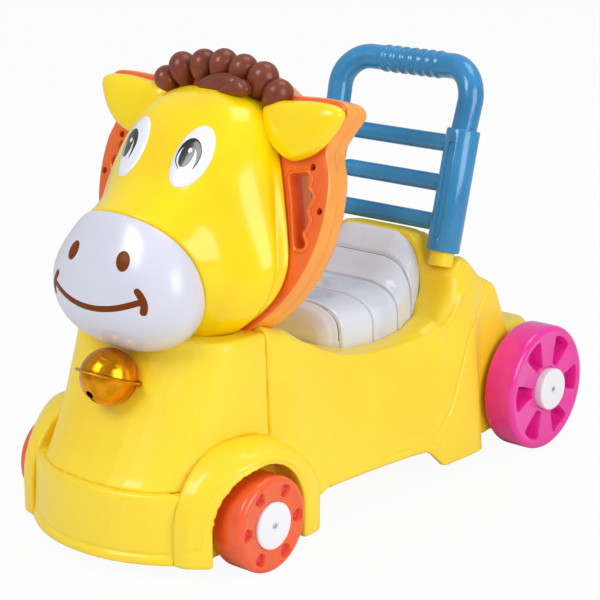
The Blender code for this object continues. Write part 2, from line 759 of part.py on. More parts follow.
def egg_points(share):
    """Half outline running from the top to the foot, part pear and part oval."""
    points = []
    last = len(HEAD_OUTLINE) - 1
    for k, (x, v) in enumerate(HEAD_OUTLINE):
        a = math.pi * k / last
        oval = (power(math.sin(a), 2 / 2.2) if 0 < k < last else 0.0, power(math.cos(a), 2 / 2.2))
        points.append((oval[0] + (x - oval[0]) * share, oval[1] + (v - oval[1]) * share))
    return points


def head_ring(top, foot, wide, sag, share):
    """One ring of the head between a top and a foot point given in the disc's frame."""
    top, foot = Vector(top), Vector(foot)
    middle, up = (top + foot) / 2, (top - foot).normalized()
    high = (top - foot).length / 2
    forward = Vector((up.y, -up.x))
    right = []
    for x, v in egg_points(share):
        place = middle + up * (v * high) - forward * (sag * x * x)
        right.append((x * wide, place.x, place.y))
    left = [(-x, d, s) for x, d, s in reversed(right[1:-1])]
    return [Vector((x, s, d)) for x, d, s in right + left]


def head_form(plane, grow=0.0):
    """Loft the head from the disc to its joint with the muzzle."""
    rings = []
    for d0, s0, d1, s1, wide, sag, share in HEAD_RINGS:
        rings.append(head_ring((d0, s0), (d1, s1), wide, sag, share))
    form = placed(solid("head_form", skin(rings, True)), plane)
    return grown(form, grow) if grow else form


def joint_collar(plane):
    """Band round the joint of head and muzzle, used to clear the neck there."""
    d0, s0, d1, s1, wide, sag, share = HEAD_RINGS[-1]
    top, foot = Vector((d0, s0)), Vector((d1, s1))
    up = (top - foot).normalized()
    forward = Vector((up.y, -up.x)) * COLLAR_REACH
    top, foot = top + up * COLLAR_GROW, foot - up * COLLAR_GROW
    rings = [head_ring(top + forward * way, foot + forward * way, wide + COLLAR_GROW, sag, share)
             for way in (-1, 1)]
    return placed(solid("joint_collar", skin(rings, True)), plane)


def muzzle_form(plane, grow=0.0):
    """Loft the muzzle forward from its joint with the head."""
    d0, s0, d1, s1 = HEAD_RINGS[-1][:4]
    top, foot = Vector((d0, s0)), Vector((d1, s1))
    middle, up = (top + foot) / 2, (top - foot).normalized()
    forward = Vector((up.y, -up.x))
    rings = []
    for ahead, high, low, wide, sag in MUZZLE_RINGS:
        place = middle + forward * ahead
        rings.append(head_ring(place + up * high, place + up * low, wide, sag, 0.0))
    form = placed(solid("muzzle_form", skin(rings, True)), plane)
    return grown(form, grow) if grow else form


def build_head(finish, white, plane):
    """Head shell and the muzzle that closes its front."""
    head, muzzle = head_form(plane), muzzle_form(plane)
    head.name, muzzle.name = "head_shell", "muzzle_shell"
    dress(head, finish)
    dress(muzzle, white)
    return head, muzzle


EAR = ((0.0600, 0.0760), (0.0700, 0.0480), (0.0980, 0.0320), (0.1200, 0.0370), (0.1360, 0.0480), (0.1490, 0.0650),
       (0.1555, 0.0790), (0.1520, 0.0855), (0.1420, 0.0885), (0.1200, 0.0895), (0.0950, 0.0875), (0.0720, 0.0850))


def ear_form(side, grow=0.0):
    """Puffy ear drawn in the disc's frame."""
    rings = []
    centre = Vector((0.1080, 0.0660))
    for scale, depth in ((1.0, GAP - 2 * grow), (1.0, 0.0050), (0.90, 0.0110), (0.70, 0.0160), (0.35, 0.0185)):
        ring = []
        for x, s in EAR:
            away = Vector((x, s)) - centre
            flat = centre + away * scale + away.normalized() * grow
            ring.append(Vector((flat.x * side, flat.y, depth + (grow if depth > 0.001 else 0.0))))
        rings.append(ring if side > 0 else list(reversed(ring)))
    return solid("ear_form", skin(rings))


def build_ear(side, finish, head_tool, frame, plane):
    """Puffy ear in front of its lobe."""
    ear = placed(ear_form(side), plane)
    combine(ear, head_tool, keep=True)
    placed(ear, plane.inverted())
    ear.name = "ear_left" if side > 0 else "ear_right"
    return dress(ear, finish, frame)


EYE_CENTRE = Vector((0.0389, 0.0206, 0.0640))
EYE_HALF = (0.0235, 0.0290)
EYE_THICK = 0.0018
EYE_FACE = Vector((0.42, 0.45, 0.80))
EYE_LEAN = math.radians(8.0)


def build_eye(side, finish, frame, plane):
    """Oval eye plate that follows the head's surface."""
    facing = Vector((EYE_FACE.x * side, EYE_FACE.y, EYE_FACE.z)).normalized()
    centre = Vector((EYE_CENTRE.x * side, EYE_CENTRE.y, EYE_CENTRE.z))
    outline = []
    for k in range(20):
        a = math.tau * k / 20
        outline.append((EYE_HALF[0] * math.cos(a), EYE_HALF[1] * math.sin(a)))
    eye = solid("eye", prism(outline, "z", -0.012, 0.012))
    turn = facing.to_track_quat("Z", "Y").to_matrix().to_4x4() @ Matrix.Rotation(-side * EYE_LEAN, 4, "Z")
    placed(eye, plane @ Matrix.Translation(centre) @ turn)
    combine(eye, head_form(plane, GAP + EYE_THICK), "INTERSECT")
    combine(eye, head_form(plane, 2 * GAP))
    placed(eye, plane.inverted())
    eye.name = "eye_left" if side > 0 else "eye_right"
    return dress(eye, finish, frame)


FORELOCK = ((0.0480, 0.1050), (-0.0300, 0.1050), (-0.0280, 0.0900), (-0.0400, 0.0800), (-0.0180, 0.0790),
            (-0.0060, 0.0700), (0.0080, 0.0760), (0.0200, 0.0680), (0.0420, 0.0830), (0.0520, 0.0900))
FORELOCK_THICK = 0.0040


def build_forelock(finish, head_tool, mane_tool, frame, plane):
    """Swept fringe with pointed tips lying on the forehead."""
    lock = placed(solid("forelock", prism(FORELOCK, "z", 0.0030, 0.0500)), plane)
    combine(lock, head_form(plane, GAP + FORELOCK_THICK), "INTERSECT")
    combine(lock, head_tool, keep=True)
    combine(lock, mane_tool)
    placed(lock, plane.inverted())
    lock.name = "forelock"
    return dress(lock, finish, frame)


# Mane lobes: across and up the disc's plane
MANE_LOBES = ((0.0, 0.1115), (0.0270, 0.1090), (0.0530, 0.1025), (0.0735, 0.0915))
MANE_RADII = (0.0150, 0.0165, 0.0140)
MANE_DEPTH = 0.0095


def mane_form(plane, grow=0.0):
    """Union of the mane's lobes."""
    places = [(x, s) for x, s in MANE_LOBES] + [(-x, s) for x, s in MANE_LOBES if x]
    places.sort()
    mane = None
    for x, s in places:
        scale = 1.0 if abs(x) < 0.06 else 0.92
        lobe = ellipsoid("lobe", (x, s, MANE_DEPTH), [r * scale + grow for r in MANE_RADII], 12, 9)
        if mane is None:
            mane = lobe
        else:
            combine(mane, lobe, "UNION")
    return placed(mane, plane)


def build_mane(finish, head_tool, ears, disc_tool, frame, plane):
    """Brown mane of rounded lobes along the disc's top edge."""
    mane = mane_form(plane)
    combine(mane, head_tool, keep=True)
    combine(mane, disc_tool, keep=True)
    for ear in ears:
        combine(mane, ear)
    placed(mane, plane.inverted())
    mane.name = "mane"
    return dress(mane, finish, frame)


# Handle

def handle_frame():
    """Matrix of the handle's plane: x across, z up the leaning sleeves."""
    foot = Matrix.Translation((0.0, SLEEVE_FOOT.y, SLEEVE_FOOT.z))
    return foot @ Matrix.Rotation(-HANDLE_LEAN, 4, "X")


def build_sleeve(side, finish, frame):
    """Sleeve tube with a long recess in its front face."""
    bore = TUBE_R + GAP
    loop = [(SLEEVE_R, 0.0010), (SLEEVE_R, SLEEVE_LENGTH - 0.0010), (SLEEVE_R - 0.0010, SLEEVE_LENGTH),
            (bore, SLEEVE_LENGTH), (bore, 0.0), (SLEEVE_R - 0.0010, 0.0)]
    sleeve = solid("handle_sleeve", turned_tube(loop, 28))
    stadium = []
    for k in range(7):
        a = math.pi * k / 6
        stadium.append((0.0048 * math.cos(a), SLEEVE_LENGTH - 0.0190 + 0.0048 * math.sin(a)))
    for k in range(7):
        a = math.pi + math.pi * k / 6
        stadium.append((0.0048 * math.cos(a), 0.0170 + 0.0048 * math.sin(a)))
    combine(sleeve, solid("stadium", prism(stadium, "y", -0.03, -SLEEVE_R + 0.0022)))
    placed(sleeve, Matrix.Translation((side * HANDLE_X, 0, 0)))
    sleeve.name = "handle_sleeve_left" if side > 0 else "handle_sleeve_right"
    return dress(sleeve, finish, frame)


def build_post(side, finish, frame):
    """Stub post between the pillar and the sleeve."""
    loop = [(POST_R, -0.0150), (POST_R, 0.0400)]
    post = solid("post", skin(turned(loop, 20)))
    placed(post, Matrix.Translation((side * HANDLE_X, 0, 0)))
    post.name = "handle_post_left" if side > 0 else "handle_post_right"
    return dress(post, finish, frame)


def build_rung(name, height, finish, frame):
    """Oval rung, bowed back, necked at both ends, cut to the sleeves."""
    rings = []
    steps = 12
    for k in range(steps + 1):
        x = -HANDLE_X + 2 * HANDLE_X * k / steps
        t = abs(x) / HANDLE_X
        neck = 0.62 + 0.38 * min(1.0, (1 - t) / 0.16) if t > 0.84 else 1.0
        bow = RUNG_BOW * (1 - t * t)
        ring = []
        for i in range(14):
            a = math.tau * i / 14
            ring.append(Vector((x, bow + RUNG_HALF[0] * neck * math.cos(a),
                                height + RUNG_HALF[1] * neck * math.sin(a))))
        rings.append(ring)
    rung = solid(name, skin(rings))
    for side in (-1, 1):
        combine(rung, rod("cut", (side * HANDLE_X, 0, height - 0.05), (side * HANDLE_X, 0, height + 0.05),
                          SLEEVE_R + GAP, 28))
    return dress(rung, finish, frame)


def build_handle(finish, frame):
    """U-shaped tube with a ribbed grip in its middle."""
    top = SLEEVE_LENGTH + TUBE_RISE
    path = [(HANDLE_X, SLEEVE_LENGTH - 0.0600), (HANDLE_X, SLEEVE_LENGTH - 0.0100), (HANDLE_X, top - TUBE_CORNER)]
    for k in range(1, 7):
        a = math.pi / 2 * k / 6
        path.append((HANDLE_X - TUBE_CORNER * (1 - math.cos(a)), top - TUBE_CORNER * (1 - math.sin(a))))
    ribs = 9
    for k in range(ribs * 2 + 1):
        path.append((0.0405 - 0.0810 * k / (ribs * 2), top))
    half = path[:9]
    path += [(-x, z) for x, z in reversed(half)]
    rings = []
    for k, (x, z) in enumerate(path):
        before, after = path[max(k - 1, 0)], path[min(k + 1, len(path) - 1)]
        run = Vector((after[0] - before[0], 0, after[1] - before[1])).normalized()
        across = Vector((0, 1, 0))
        other = run.cross(across)
        in_grip = 9 <= k < 9 + ribs * 2 + 1
        radius = TUBE_R + (0.0011 if in_grip and (k - 9) % 2 else 0.0)
        bow = 0.0100 * max(0.0, 1 - (x / HANDLE_X) ** 2) * (1 if z > SLEEVE_LENGTH else 0)
        ring = []
        for i in range(16):
            a = math.tau * i / 16
            ring.append(Vector((x, bow, z)) + across * (radius * math.cos(a)) + other * (radius * math.sin(a)))
        rings.append(ring)
    return dress(solid("push_handle", skin(rings)), finish, frame)


# Bell

def bell_dome(radius, low, sign):
    """Half ball above or below the band."""
    profile = []
    for k in range(6):
        a = k / 5 * math.radians(82.0)
        profile.append((radius * math.cos(a), sign * max(radius * math.sin(a), low)))
    profile[0] = (radius, sign * low)
    return solid("dome", skin(turned(profile, BELL_SIDES)))


def bell_frame():
    """Placement of the bell: its band leans with the chest."""
    return Matrix.Translation(BELL_CENTRE) @ Matrix.Rotation(-BELL_LEAN, 4, "X")


def bell_seat():
    """Round seat in the chest for the bell and its band."""
    ball, rim = BELL_R + BELL_SEAT_GAP, BAND_R + BELL_SEAT_GAP
    profile = [(ball * math.cos(math.radians(a)), ball * math.sin(math.radians(a))) for a in range(-80, 81, 16)]
    seat = solid("bell_seat", skin(turned(profile, BELL_SIDES)))
    combine(seat, solid("rim", skin(turned([(rim, -0.0022), (rim, 0.0022)], 28))), "UNION")
    return placed(seat, bell_frame())


def build_bell(gold, band_finish):
    """Two half shells with a band between them and a slot in the lower half."""
    frame = bell_frame()
    half = 0.0014
    made = []
    for name, sign in (("bell_upper", 1), ("bell_lower", -1)):
        shell = bell_dome(BELL_R, half + GAP, sign)
        combine(shell, bell_dome(BELL_R * BELL_INSIDE, half - GAP, sign))
        shell.name = name
        if sign < 0:
            combine(shell, rod("hole", (0, -BELL_R * 1.1, -0.0100), (0, -BELL_R * 0.6, -0.0070), 0.0036, 12))
            slot = [(-0.0012, -0.0100), (0.0012, -0.0100), (0.0012, -0.0400), (-0.0012, -0.0400)]
            combine(shell, solid("slot", prism(slot, "y", -0.0300, 0.0)))
        placed(shell, frame)
        made.append(dress(shell, gold))
    loop = [(BAND_R, -half * 0.6), (BAND_R, half * 0.6), (BAND_R - 0.0010, half), (BELL_R * 0.90, half),
            (BELL_R * 0.90, -half), (BAND_R - 0.0010, -half)]
    band = solid("bell_band", turned_tube(loop, 28))
    placed(band, frame)
    made.append(dress(band, band_finish))
    return made


# Wheels

def wheel_profile(radius, width, shoulder):
    """Closed loop of a wheel about z: tread, rounded shoulders, dished faces and bore."""
    flat = 1 / math.cos(math.pi / WHEEL_SIDES)
    outer = radius * flat
    half = width / 2
    return [(BORE_R, -half + 0.0040), (radius * 0.34, -half + 0.0040), (radius * 0.38, -half + 0.0080),
            (outer - shoulder - 0.0032, -half + 0.0080), (outer - shoulder - 0.0016, -half), (outer - shoulder, -half),
            (outer - shoulder * 0.29, -half + shoulder * 0.29), (outer, -half + shoulder),
            (outer, half - shoulder), (outer - shoulder * 0.29, half - shoulder * 0.29), (outer - shoulder, half),
            (outer - shoulder - 0.0010, half - 0.0008), (CAP_R + GAP, half - 0.0008),
            (CAP_R + GAP, half - 0.0030), (BORE_R, half - 0.0030)]


def pocket_outline(inner, outer, spread_in, spread_out, angle):
    """One recess: a flared sector with soft corners."""
    points = []
    for r, spread in ((inner, spread_in), (inner + 0.15 * (outer - inner), spread_in * 1.02),
                      (outer - 0.20 * (outer - inner), spread_out), (outer, spread_out * 0.72)):
        points.append((r, -spread))
    points += [(outer * 1.012, 0.0)]
    points += [(r, -spread) for r, spread in reversed(points[:4])]
    turned_points = []
    for r, offset in points:
        a = angle + offset / r
        turned_points.append((r * math.cos(a), r * math.sin(a)))
    return turned_points


def build_wheel(name, side, place, sizes, finish):
    """A wheel that turns on its axle, its origin on the axle."""
    radius, width, pocket, depth = sizes
    wheel = solid(name, turned_tube(wheel_profile(radius, width, 0.0060), WHEEL_SIDES, 0.5))
    for k in range(POCKETS):
        outline = pocket_outline(*pocket, math.tau * (k + 0.5) / POCKETS)
        combine(wheel, solid("pocket", prism(outline, "z", width / 2 - depth, width / 2 + 0.01)))
    placed(wheel, Matrix.Rotation(side * math.pi / 2, 4, "Y"))
    wheel.location = place
    return dress(wheel, finish)


def build_cap(name, side, place, width, rise, finish):
    """Hub cap with a small centre dimple, snapped over the hub."""
    base = width / 2 - 0.0030 + GAP
    top = width / 2 + rise
    loop = [(0.0062, base), (CAP_R, base), (CAP_R, top - 0.0018), (CAP_R - 0.0020, top), (0.0020, top + 0.0003),
            (0.0014, top - 0.0012)]
    rings = turned(loop[1:], 20, 0.5)
    cap = solid(name, skin(rings))
    bowl = solid("bowl", skin(turned([(0.0064, base - 0.001), (0.0064, base + 0.0020)], 16, 0.5)))
    combine(cap, bowl)
    placed(cap, Matrix.Rotation(side * math.pi / 2, 4, "Y"))
    cap.location = place
    return dress(cap, finish)


def build_axle(name, y, z, half, steel):
    """Straight steel rod with both ends under the hub caps."""
    return dress(rod(name, (-half, y, z), (half, y, z), AXLE_R), steel)


def build_ring(name, side, y, z, x0, x1, radius, finish):
    """A plain ring on the axle between two distances from the middle."""
    loop = [(AXLE_R + GAP, x0), (radius, x0), (radius, x1), (AXLE_R + GAP, x1)]
    ring = solid(name, turned_tube(loop, AXLE_SIDES, 0.5))
    placed(ring, Matrix.Translation((0, y, z)) @ Matrix.Rotation(side * math.pi / 2, 4, "Y"))
    return dress(ring, finish)


def clear_scene():
    """Remove what the scene holds at the start."""
    for obj in list(bpy.data.objects):
        bpy.data.objects.remove(obj)


def main():
    """Build every piece of the walker."""
    clear_scene()
    yellow = material("moulded_yellow", YELLOW, 0.32)
    head_yellow = material("gloss_yellow", HEAD_YELLOW, 0.22)
    white = material("moulded_white", "F4F4F6", 0.25)
    lavender = material("muzzle_white", "D8D8E6", 0.28)
    orange = material("moulded_orange", "F0702A", 0.3)
    rim_orange = material("rim_orange", "F7A850", 0.3)
    blue = material("moulded_blue", "3A8CC0", 0.28)
    brown = material("moulded_brown", "8B4530", 0.4)
    pink = material("wheel_pink", "E8389A", 0.3)
    red = material("wheel_red", "F0642D", 0.3)
    gold = material("plated_gold", "E89A10", 0.22, 0.8)
    steel = material("bright_steel", "B8BABC", 0.3, 1.0)

    plane = Matrix.Translation(DISC_POINT) @ Matrix.Rotation(math.pi / 2 - DISC_LEAN, 4, "X")
    disc_frame = empty("disc_frame", plane)
    handle = handle_frame()
    handle_empty = empty("handle_frame", handle)

    disc_tool = disc_slab(-DISC_DEPTH - GAP, GAP, GAP, GAP - 0.0001)
    placed(disc_tool, plane)
    head_tool = head_form(plane, GAP)

    build_disc(orange, rim_orange, steel, grown(head_form(Matrix.Identity(4)), GAP), disc_frame)
    build_head(head_yellow, lavender, plane)
    for side in (-1, 1):
        build_ear(side, head_yellow, head_tool, disc_frame, plane)
    ear_tools = [placed(ear_form(side, GAP), plane) for side in (-1, 1)]
    build_mane(brown, head_tool, ear_tools, disc_tool, disc_frame, plane)

    build_forelock(brown, head_tool, mane_form(plane, GAP), disc_frame, plane)
    for side in (-1, 1):
        build_eye(side, white, disc_frame, plane)

    build_neck(yellow, head_tool, muzzle_form(plane, GAP), joint_collar(plane), disc_tool, bell_seat())
    build_bell(gold, gold)
    build_bumper(yellow)
    build_seat(white)
    body = build_body(yellow, disc_tool, seat_form(GAP))
    for side in (-1, 1):
        post = build_post(side, yellow, handle_empty)
        hole = solid("hole", skin(turned([(POST_R + GAP, -0.0153), (POST_R + GAP, 0.05)], 20)))
        placed(hole, handle @ Matrix.Translation((side * HANDLE_X, 0, 0)))
        combine(body, hole)
        build_sleeve(side, blue, handle_empty)
    for name, height in zip(("rung_lower", "rung_middle", "rung_upper"), RUNG_HEIGHTS):
        build_rung(name, height, blue, handle_empty)
    build_handle(blue, handle_empty)
    build_base_plate(yellow)

    front_pocket = (0.0280, 0.0385, 0.0042, 0.0060)
    rear_pocket = (0.0270, 0.0570, 0.0058, 0.0138)
    front = (FRONT_WHEEL_R, FRONT_WHEEL_WIDTH, front_pocket, 0.0045)
    rear = (REAR_WHEEL_R, REAR_WHEEL_WIDTH, rear_pocket, 0.0130)
    for where, sizes, y, outer, wall, rise, finish in (
            ("front", front, FRONT_AXLE_Y, FRONT_OUTER_X, FRONT_WALL_X, 0.0020, red),
            ("rear", rear, REAR_AXLE_Y, REAR_OUTER_X, REAR_WALL_X, 0.0080, pink)):
        radius, width = sizes[0], sizes[1]
        for side, word in ((1, "left"), (-1, "right")):
            place = Vector((side * (outer - width / 2), y, radius))
            build_wheel(f"{where}_wheel_{word}", side, place, sizes, finish)
            build_cap(f"{where}_hub_cap_{word}", side, place, width, rise, white)
            build_ring(f"{where}_spacer_{word}", side, y, radius, wall + GAP, outer - width + 0.0040 - GAP,
                       SPACER_R, white)
            build_ring(f"{where}_axle_nut_{word}", side, y, radius, outer - 0.0030 + GAP, outer - 0.0014,
                       NUT_R, steel)
        build_axle(f"{where}_axle", y, radius, outer - 0.0010, steel)
    drop(disc_tool)
    drop(head_tool)


main()
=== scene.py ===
"""Looks of the horse baby walker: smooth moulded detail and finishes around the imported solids."""

import json
import logging
import math
from dataclasses import dataclass, field
from enum import Enum
from typing import Sequence

import bmesh
import bpy
from mathutils import Matrix, Vector
from mathutils.bvhtree import BVHTree
from mathutils.kdtree import KDTree

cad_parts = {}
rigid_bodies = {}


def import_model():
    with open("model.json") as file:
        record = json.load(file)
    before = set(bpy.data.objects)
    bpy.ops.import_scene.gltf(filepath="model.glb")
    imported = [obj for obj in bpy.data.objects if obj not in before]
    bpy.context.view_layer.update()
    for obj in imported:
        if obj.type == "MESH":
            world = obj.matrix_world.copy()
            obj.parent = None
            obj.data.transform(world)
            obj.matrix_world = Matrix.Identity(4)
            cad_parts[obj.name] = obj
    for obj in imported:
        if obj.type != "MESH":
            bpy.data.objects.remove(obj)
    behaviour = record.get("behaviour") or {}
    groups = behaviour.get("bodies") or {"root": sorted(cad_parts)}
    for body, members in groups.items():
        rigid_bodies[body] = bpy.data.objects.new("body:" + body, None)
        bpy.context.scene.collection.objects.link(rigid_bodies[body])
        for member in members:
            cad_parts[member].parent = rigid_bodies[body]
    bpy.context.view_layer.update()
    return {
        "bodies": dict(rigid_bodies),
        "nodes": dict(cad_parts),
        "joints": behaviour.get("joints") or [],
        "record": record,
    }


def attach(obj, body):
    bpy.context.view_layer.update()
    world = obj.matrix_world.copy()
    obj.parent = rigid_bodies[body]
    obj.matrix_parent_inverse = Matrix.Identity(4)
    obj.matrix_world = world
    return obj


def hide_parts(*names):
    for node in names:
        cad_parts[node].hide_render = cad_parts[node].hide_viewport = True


LOG = logging.getLogger("walker")
MM = 0.001
CHASSIS = "chassis"
Pairs = Sequence[tuple[float, float]]

# Where a drop onto a surface starts: before the place, ahead of the disc and ahead of the muzzle
DROP = 0.2
FACE_AHEAD = 0.10
MUZZLE_AHEAD_Y = -0.30

# Frames shared with the solids: the leaning disc and the leaning push frame
DISC_POINT = Vector((0.0, -0.1276, 0.3350))
DISC_LEAN = math.radians(15.0)
DISC_PLANE = Matrix.Translation(DISC_POINT) @ Matrix.Rotation(math.pi / 2 - DISC_LEAN, 4, "X")
SLEEVE_FOOT = Vector((0.0, 0.1340, 0.2300))
HANDLE_LEAN = math.radians(14.8)
HANDLE_PLANE = Matrix.Translation(SLEEVE_FOOT) @ Matrix.Rotation(-HANDLE_LEAN, 4, "X")


class Side(Enum):
    """Which side of the animal a piece is on; its left is at +X."""

    LEFT = 1
    RIGHT = -1

    @property
    def word(self) -> str:
        """Ending of a piece's name."""
        return self.name.lower()


# Shader helpers

def linear(text: str) -> tuple[float, float, float, float]:
    """Linear colour from an sRGB hex value.

    Args:
        text: Six hex digits of red, green and blue.

    Returns:
        Linear red, green and blue, and an alpha of 1.
    """
    levels = [int(text[i:i + 2], 16) / 255 for i in (0, 2, 4)]
    values = [v / 12.92 if v <= 0.04045 else ((v + 0.055) / 1.055) ** 2.4 for v in levels]
    return (values[0], values[1], values[2], 1.0)


def feed(tree: bpy.types.NodeTree, node: bpy.types.Node, inputs: dict) -> None:
    """Give some of a node's inputs their links or values.

    Args:
        tree: The material's or world's node tree.
        node: The node to feed.
        inputs: Socket name or number to a value, or to the output socket that feeds it.
    """
    for key, value in inputs.items():
        if isinstance(value, bpy.types.NodeSocket):
            tree.links.new(value, node.inputs[key])
        else:
            node.inputs[key].default_value = value


def add_node(tree: bpy.types.NodeTree, kind: str, inputs: dict | None = None,
             **settings: object) -> bpy.types.Node:
    """Add a node with its settings and its links or values.

    Args:
        tree: The material's or world's node tree.
        kind: The node's type name.
        inputs: Socket name or number to a value, or to the output socket that feeds it.
        settings: Properties of the node.

    Returns:
        The new node.
    """
    node = tree.nodes.new(kind)
    for key, value in settings.items():
        setattr(node, key, value)
    feed(tree, node, inputs or {})
    return node


def per_mm(millimetres: float) -> float:
    """Noise scale whose features are about this size."""
    return 1.0 / (millimetres * MM)


def two_tones(tree: bpy.types.NodeTree, factor: bpy.types.NodeSocket, low: str, high: str,
              start: float, end: float) -> bpy.types.NodeSocket:
    """Colour that runs from one hex tone to another as a factor grows.

    Args:
        tree: The material's node tree.
        factor: Socket of the factor.
        low: Tone up to the start.
        high: Tone from the end on.
        start: Factor where the change starts.
        end: Factor where it ends.

    Returns:
        Socket of the colour.
    """
    ramp = add_node(tree, "ShaderNodeValToRGB", {"Fac": factor})
    first, last = ramp.color_ramp.elements
    first.position, first.color = start, linear(low)
    last.position, last.color = end, linear(high)
    return ramp.outputs["Color"]


def started(name: str) -> tuple:
    """Start a material whose patterns read Object coordinates, metres in the shared frame.

    Args:
        name: Name of the material.

    Returns:
        The material, its node tree, its shader and the coordinates' socket.
    """
    material = bpy.data.materials.new(name)
    material.use_nodes = True
    tree = material.node_tree
    place = add_node(tree, "ShaderNodeTexCoord").outputs["Object"]
    return material, tree, tree.nodes["Principled BSDF"], place


@dataclass(frozen=True)
class MouldedPlastic:
    """Blow or injection moulded ABS or polyethylene: even colour, soft gloss, faint flow marks and peel."""

    name: str
    colour: str
    deep: str
    roughness: float = 0.28
    coat: float = 0.35
    ior: float = 1.50
    flow_mm: float = 70.0
    peel_mm: float = 4.0
    peel_height_mm: float = 0.05
    scuff: float = 0.06
    scuff_mm: float = 18.0
    specular: float = 0.5

    def build(self) -> bpy.types.Material:
        """Make the node material.

        Returns:
            The finished material.
        """
        material, tree, shader, place = started(self.name)
        # Flow marks: slow changes of tone where the melt ran
        flow = add_node(tree, "ShaderNodeTexNoise",
                        {"Vector": place, "Scale": per_mm(self.flow_mm), "Detail": 2.0})
        tone = two_tones(tree, flow.outputs["Fac"], self.deep, self.colour, 0.30, 0.56)
        # Handling scuffs: patches a little duller than the rest
        rub = add_node(tree, "ShaderNodeTexNoise",
                       {"Vector": place, "Scale": per_mm(self.scuff_mm), "Detail": 5.0, "Roughness": 0.65})
        dull = add_node(tree, "ShaderNodeMapRange",
                        {"Value": rub.outputs["Fac"], "From Min": 0.35, "From Max": 0.75,
                         "To Min": self.roughness, "To Max": self.roughness + self.scuff})
        # Orange peel left by the mould, drawn coarser than life so that it shows
        peel = add_node(tree, "ShaderNodeTexNoise",
                        {"Vector": place, "Scale": per_mm(self.peel_mm), "Detail": 1.0})
        bump = add_node(tree, "ShaderNodeBump", {"Height": peel.outputs["Fac"], "Strength": 0.35,
                                                 "Distance": self.peel_height_mm * MM})
        feed(tree, shader, {"Base Color": tone, "Roughness": dull.outputs["Result"],
                            "Normal": bump.outputs["Normal"], "IOR": self.ior,
                            "Specular IOR Level": self.specular, "Coat Weight": self.coat,
                            "Coat Roughness": 0.10})
        return material


@dataclass(frozen=True)
class PlatedPlastic:
    """Vacuum-plated gold on a moulded bell: a bright mirror with faint ripples and handling haze."""

    name: str
    colour: str
    deep: str
    roughness: float = 0.16
    haze: float = 0.12
    haze_mm: float = 9.0
    ripple_mm: float = 7.0
    ripple_height_mm: float = 0.25

    def build(self) -> bpy.types.Material:
        """Make the node material.

        Returns:
            The finished material.
        """
        material, tree, shader, place = started(self.name)
        # Handling haze: duller, deeper patches as wide as a fingertip
        haze = add_node(tree, "ShaderNodeTexNoise",
                        {"Vector": place, "Scale": per_mm(self.haze_mm), "Detail": 4.0})
        tone = two_tones(tree, haze.outputs["Fac"], self.deep, self.colour, 0.35, 0.60)
        dull = add_node(tree, "ShaderNodeMapRange",
                        {"Value": haze.outputs["Fac"], "From Min": 0.35, "From Max": 0.75,
                         "To Min": self.roughness, "To Max": self.roughness + self.haze})
        # Ripples of the moulding that the plating brings out
        ripple = add_node(tree, "ShaderNodeTexNoise",
                          {"Vector": place, "Scale": per_mm(self.ripple_mm), "Detail": 1.0})
        bump = add_node(tree, "ShaderNodeBump", {"Height": ripple.outputs["Fac"], "Strength": 0.5,
                                                 "Distance": self.ripple_height_mm * MM})
        feed(tree, shader, {"Base Color": tone, "Roughness": dull.outputs["Result"],
                            "Normal": bump.outputs["Normal"], "Metallic": 1.0})
        return material


@dataclass(frozen=True)
class DrawnSteel:
    """Zinc-plated steel rod, ring or screw: grey metal with fine drawn lines."""

    name: str
    colour: str
    deep: str
    roughness: float = 0.28
    line_mm: float = 0.8
    line_height_mm: float = 0.04
    stretch: tuple = (0.08, 1.0, 1.0)

    def build(self) -> bpy.types.Material:
        """Make the node material.

        Returns:
            The finished material.
        """
        material, tree, shader, place = started(self.name)
        # Lines left by the drawing die along X, coarser than life so that they show
        long_place = add_node(tree, "ShaderNodeMapping", {"Vector": place, "Scale": self.stretch})
        lines = add_node(tree, "ShaderNodeTexNoise", {"Vector": long_place.outputs["Vector"],
                                                      "Scale": per_mm(self.line_mm), "Detail": 3.0})
        tone = two_tones(tree, lines.outputs["Fac"], self.deep, self.colour, 0.35, 0.65)
        bump = add_node(tree, "ShaderNodeBump", {"Height": lines.outputs["Fac"], "Strength": 0.3,
                                                 "Distance": self.line_height_mm * MM})
        feed(tree, shader, {"Base Color": tone, "Normal": bump.outputs["Normal"], "Metallic": 1.0,
                            "Roughness": self.roughness})
        return material


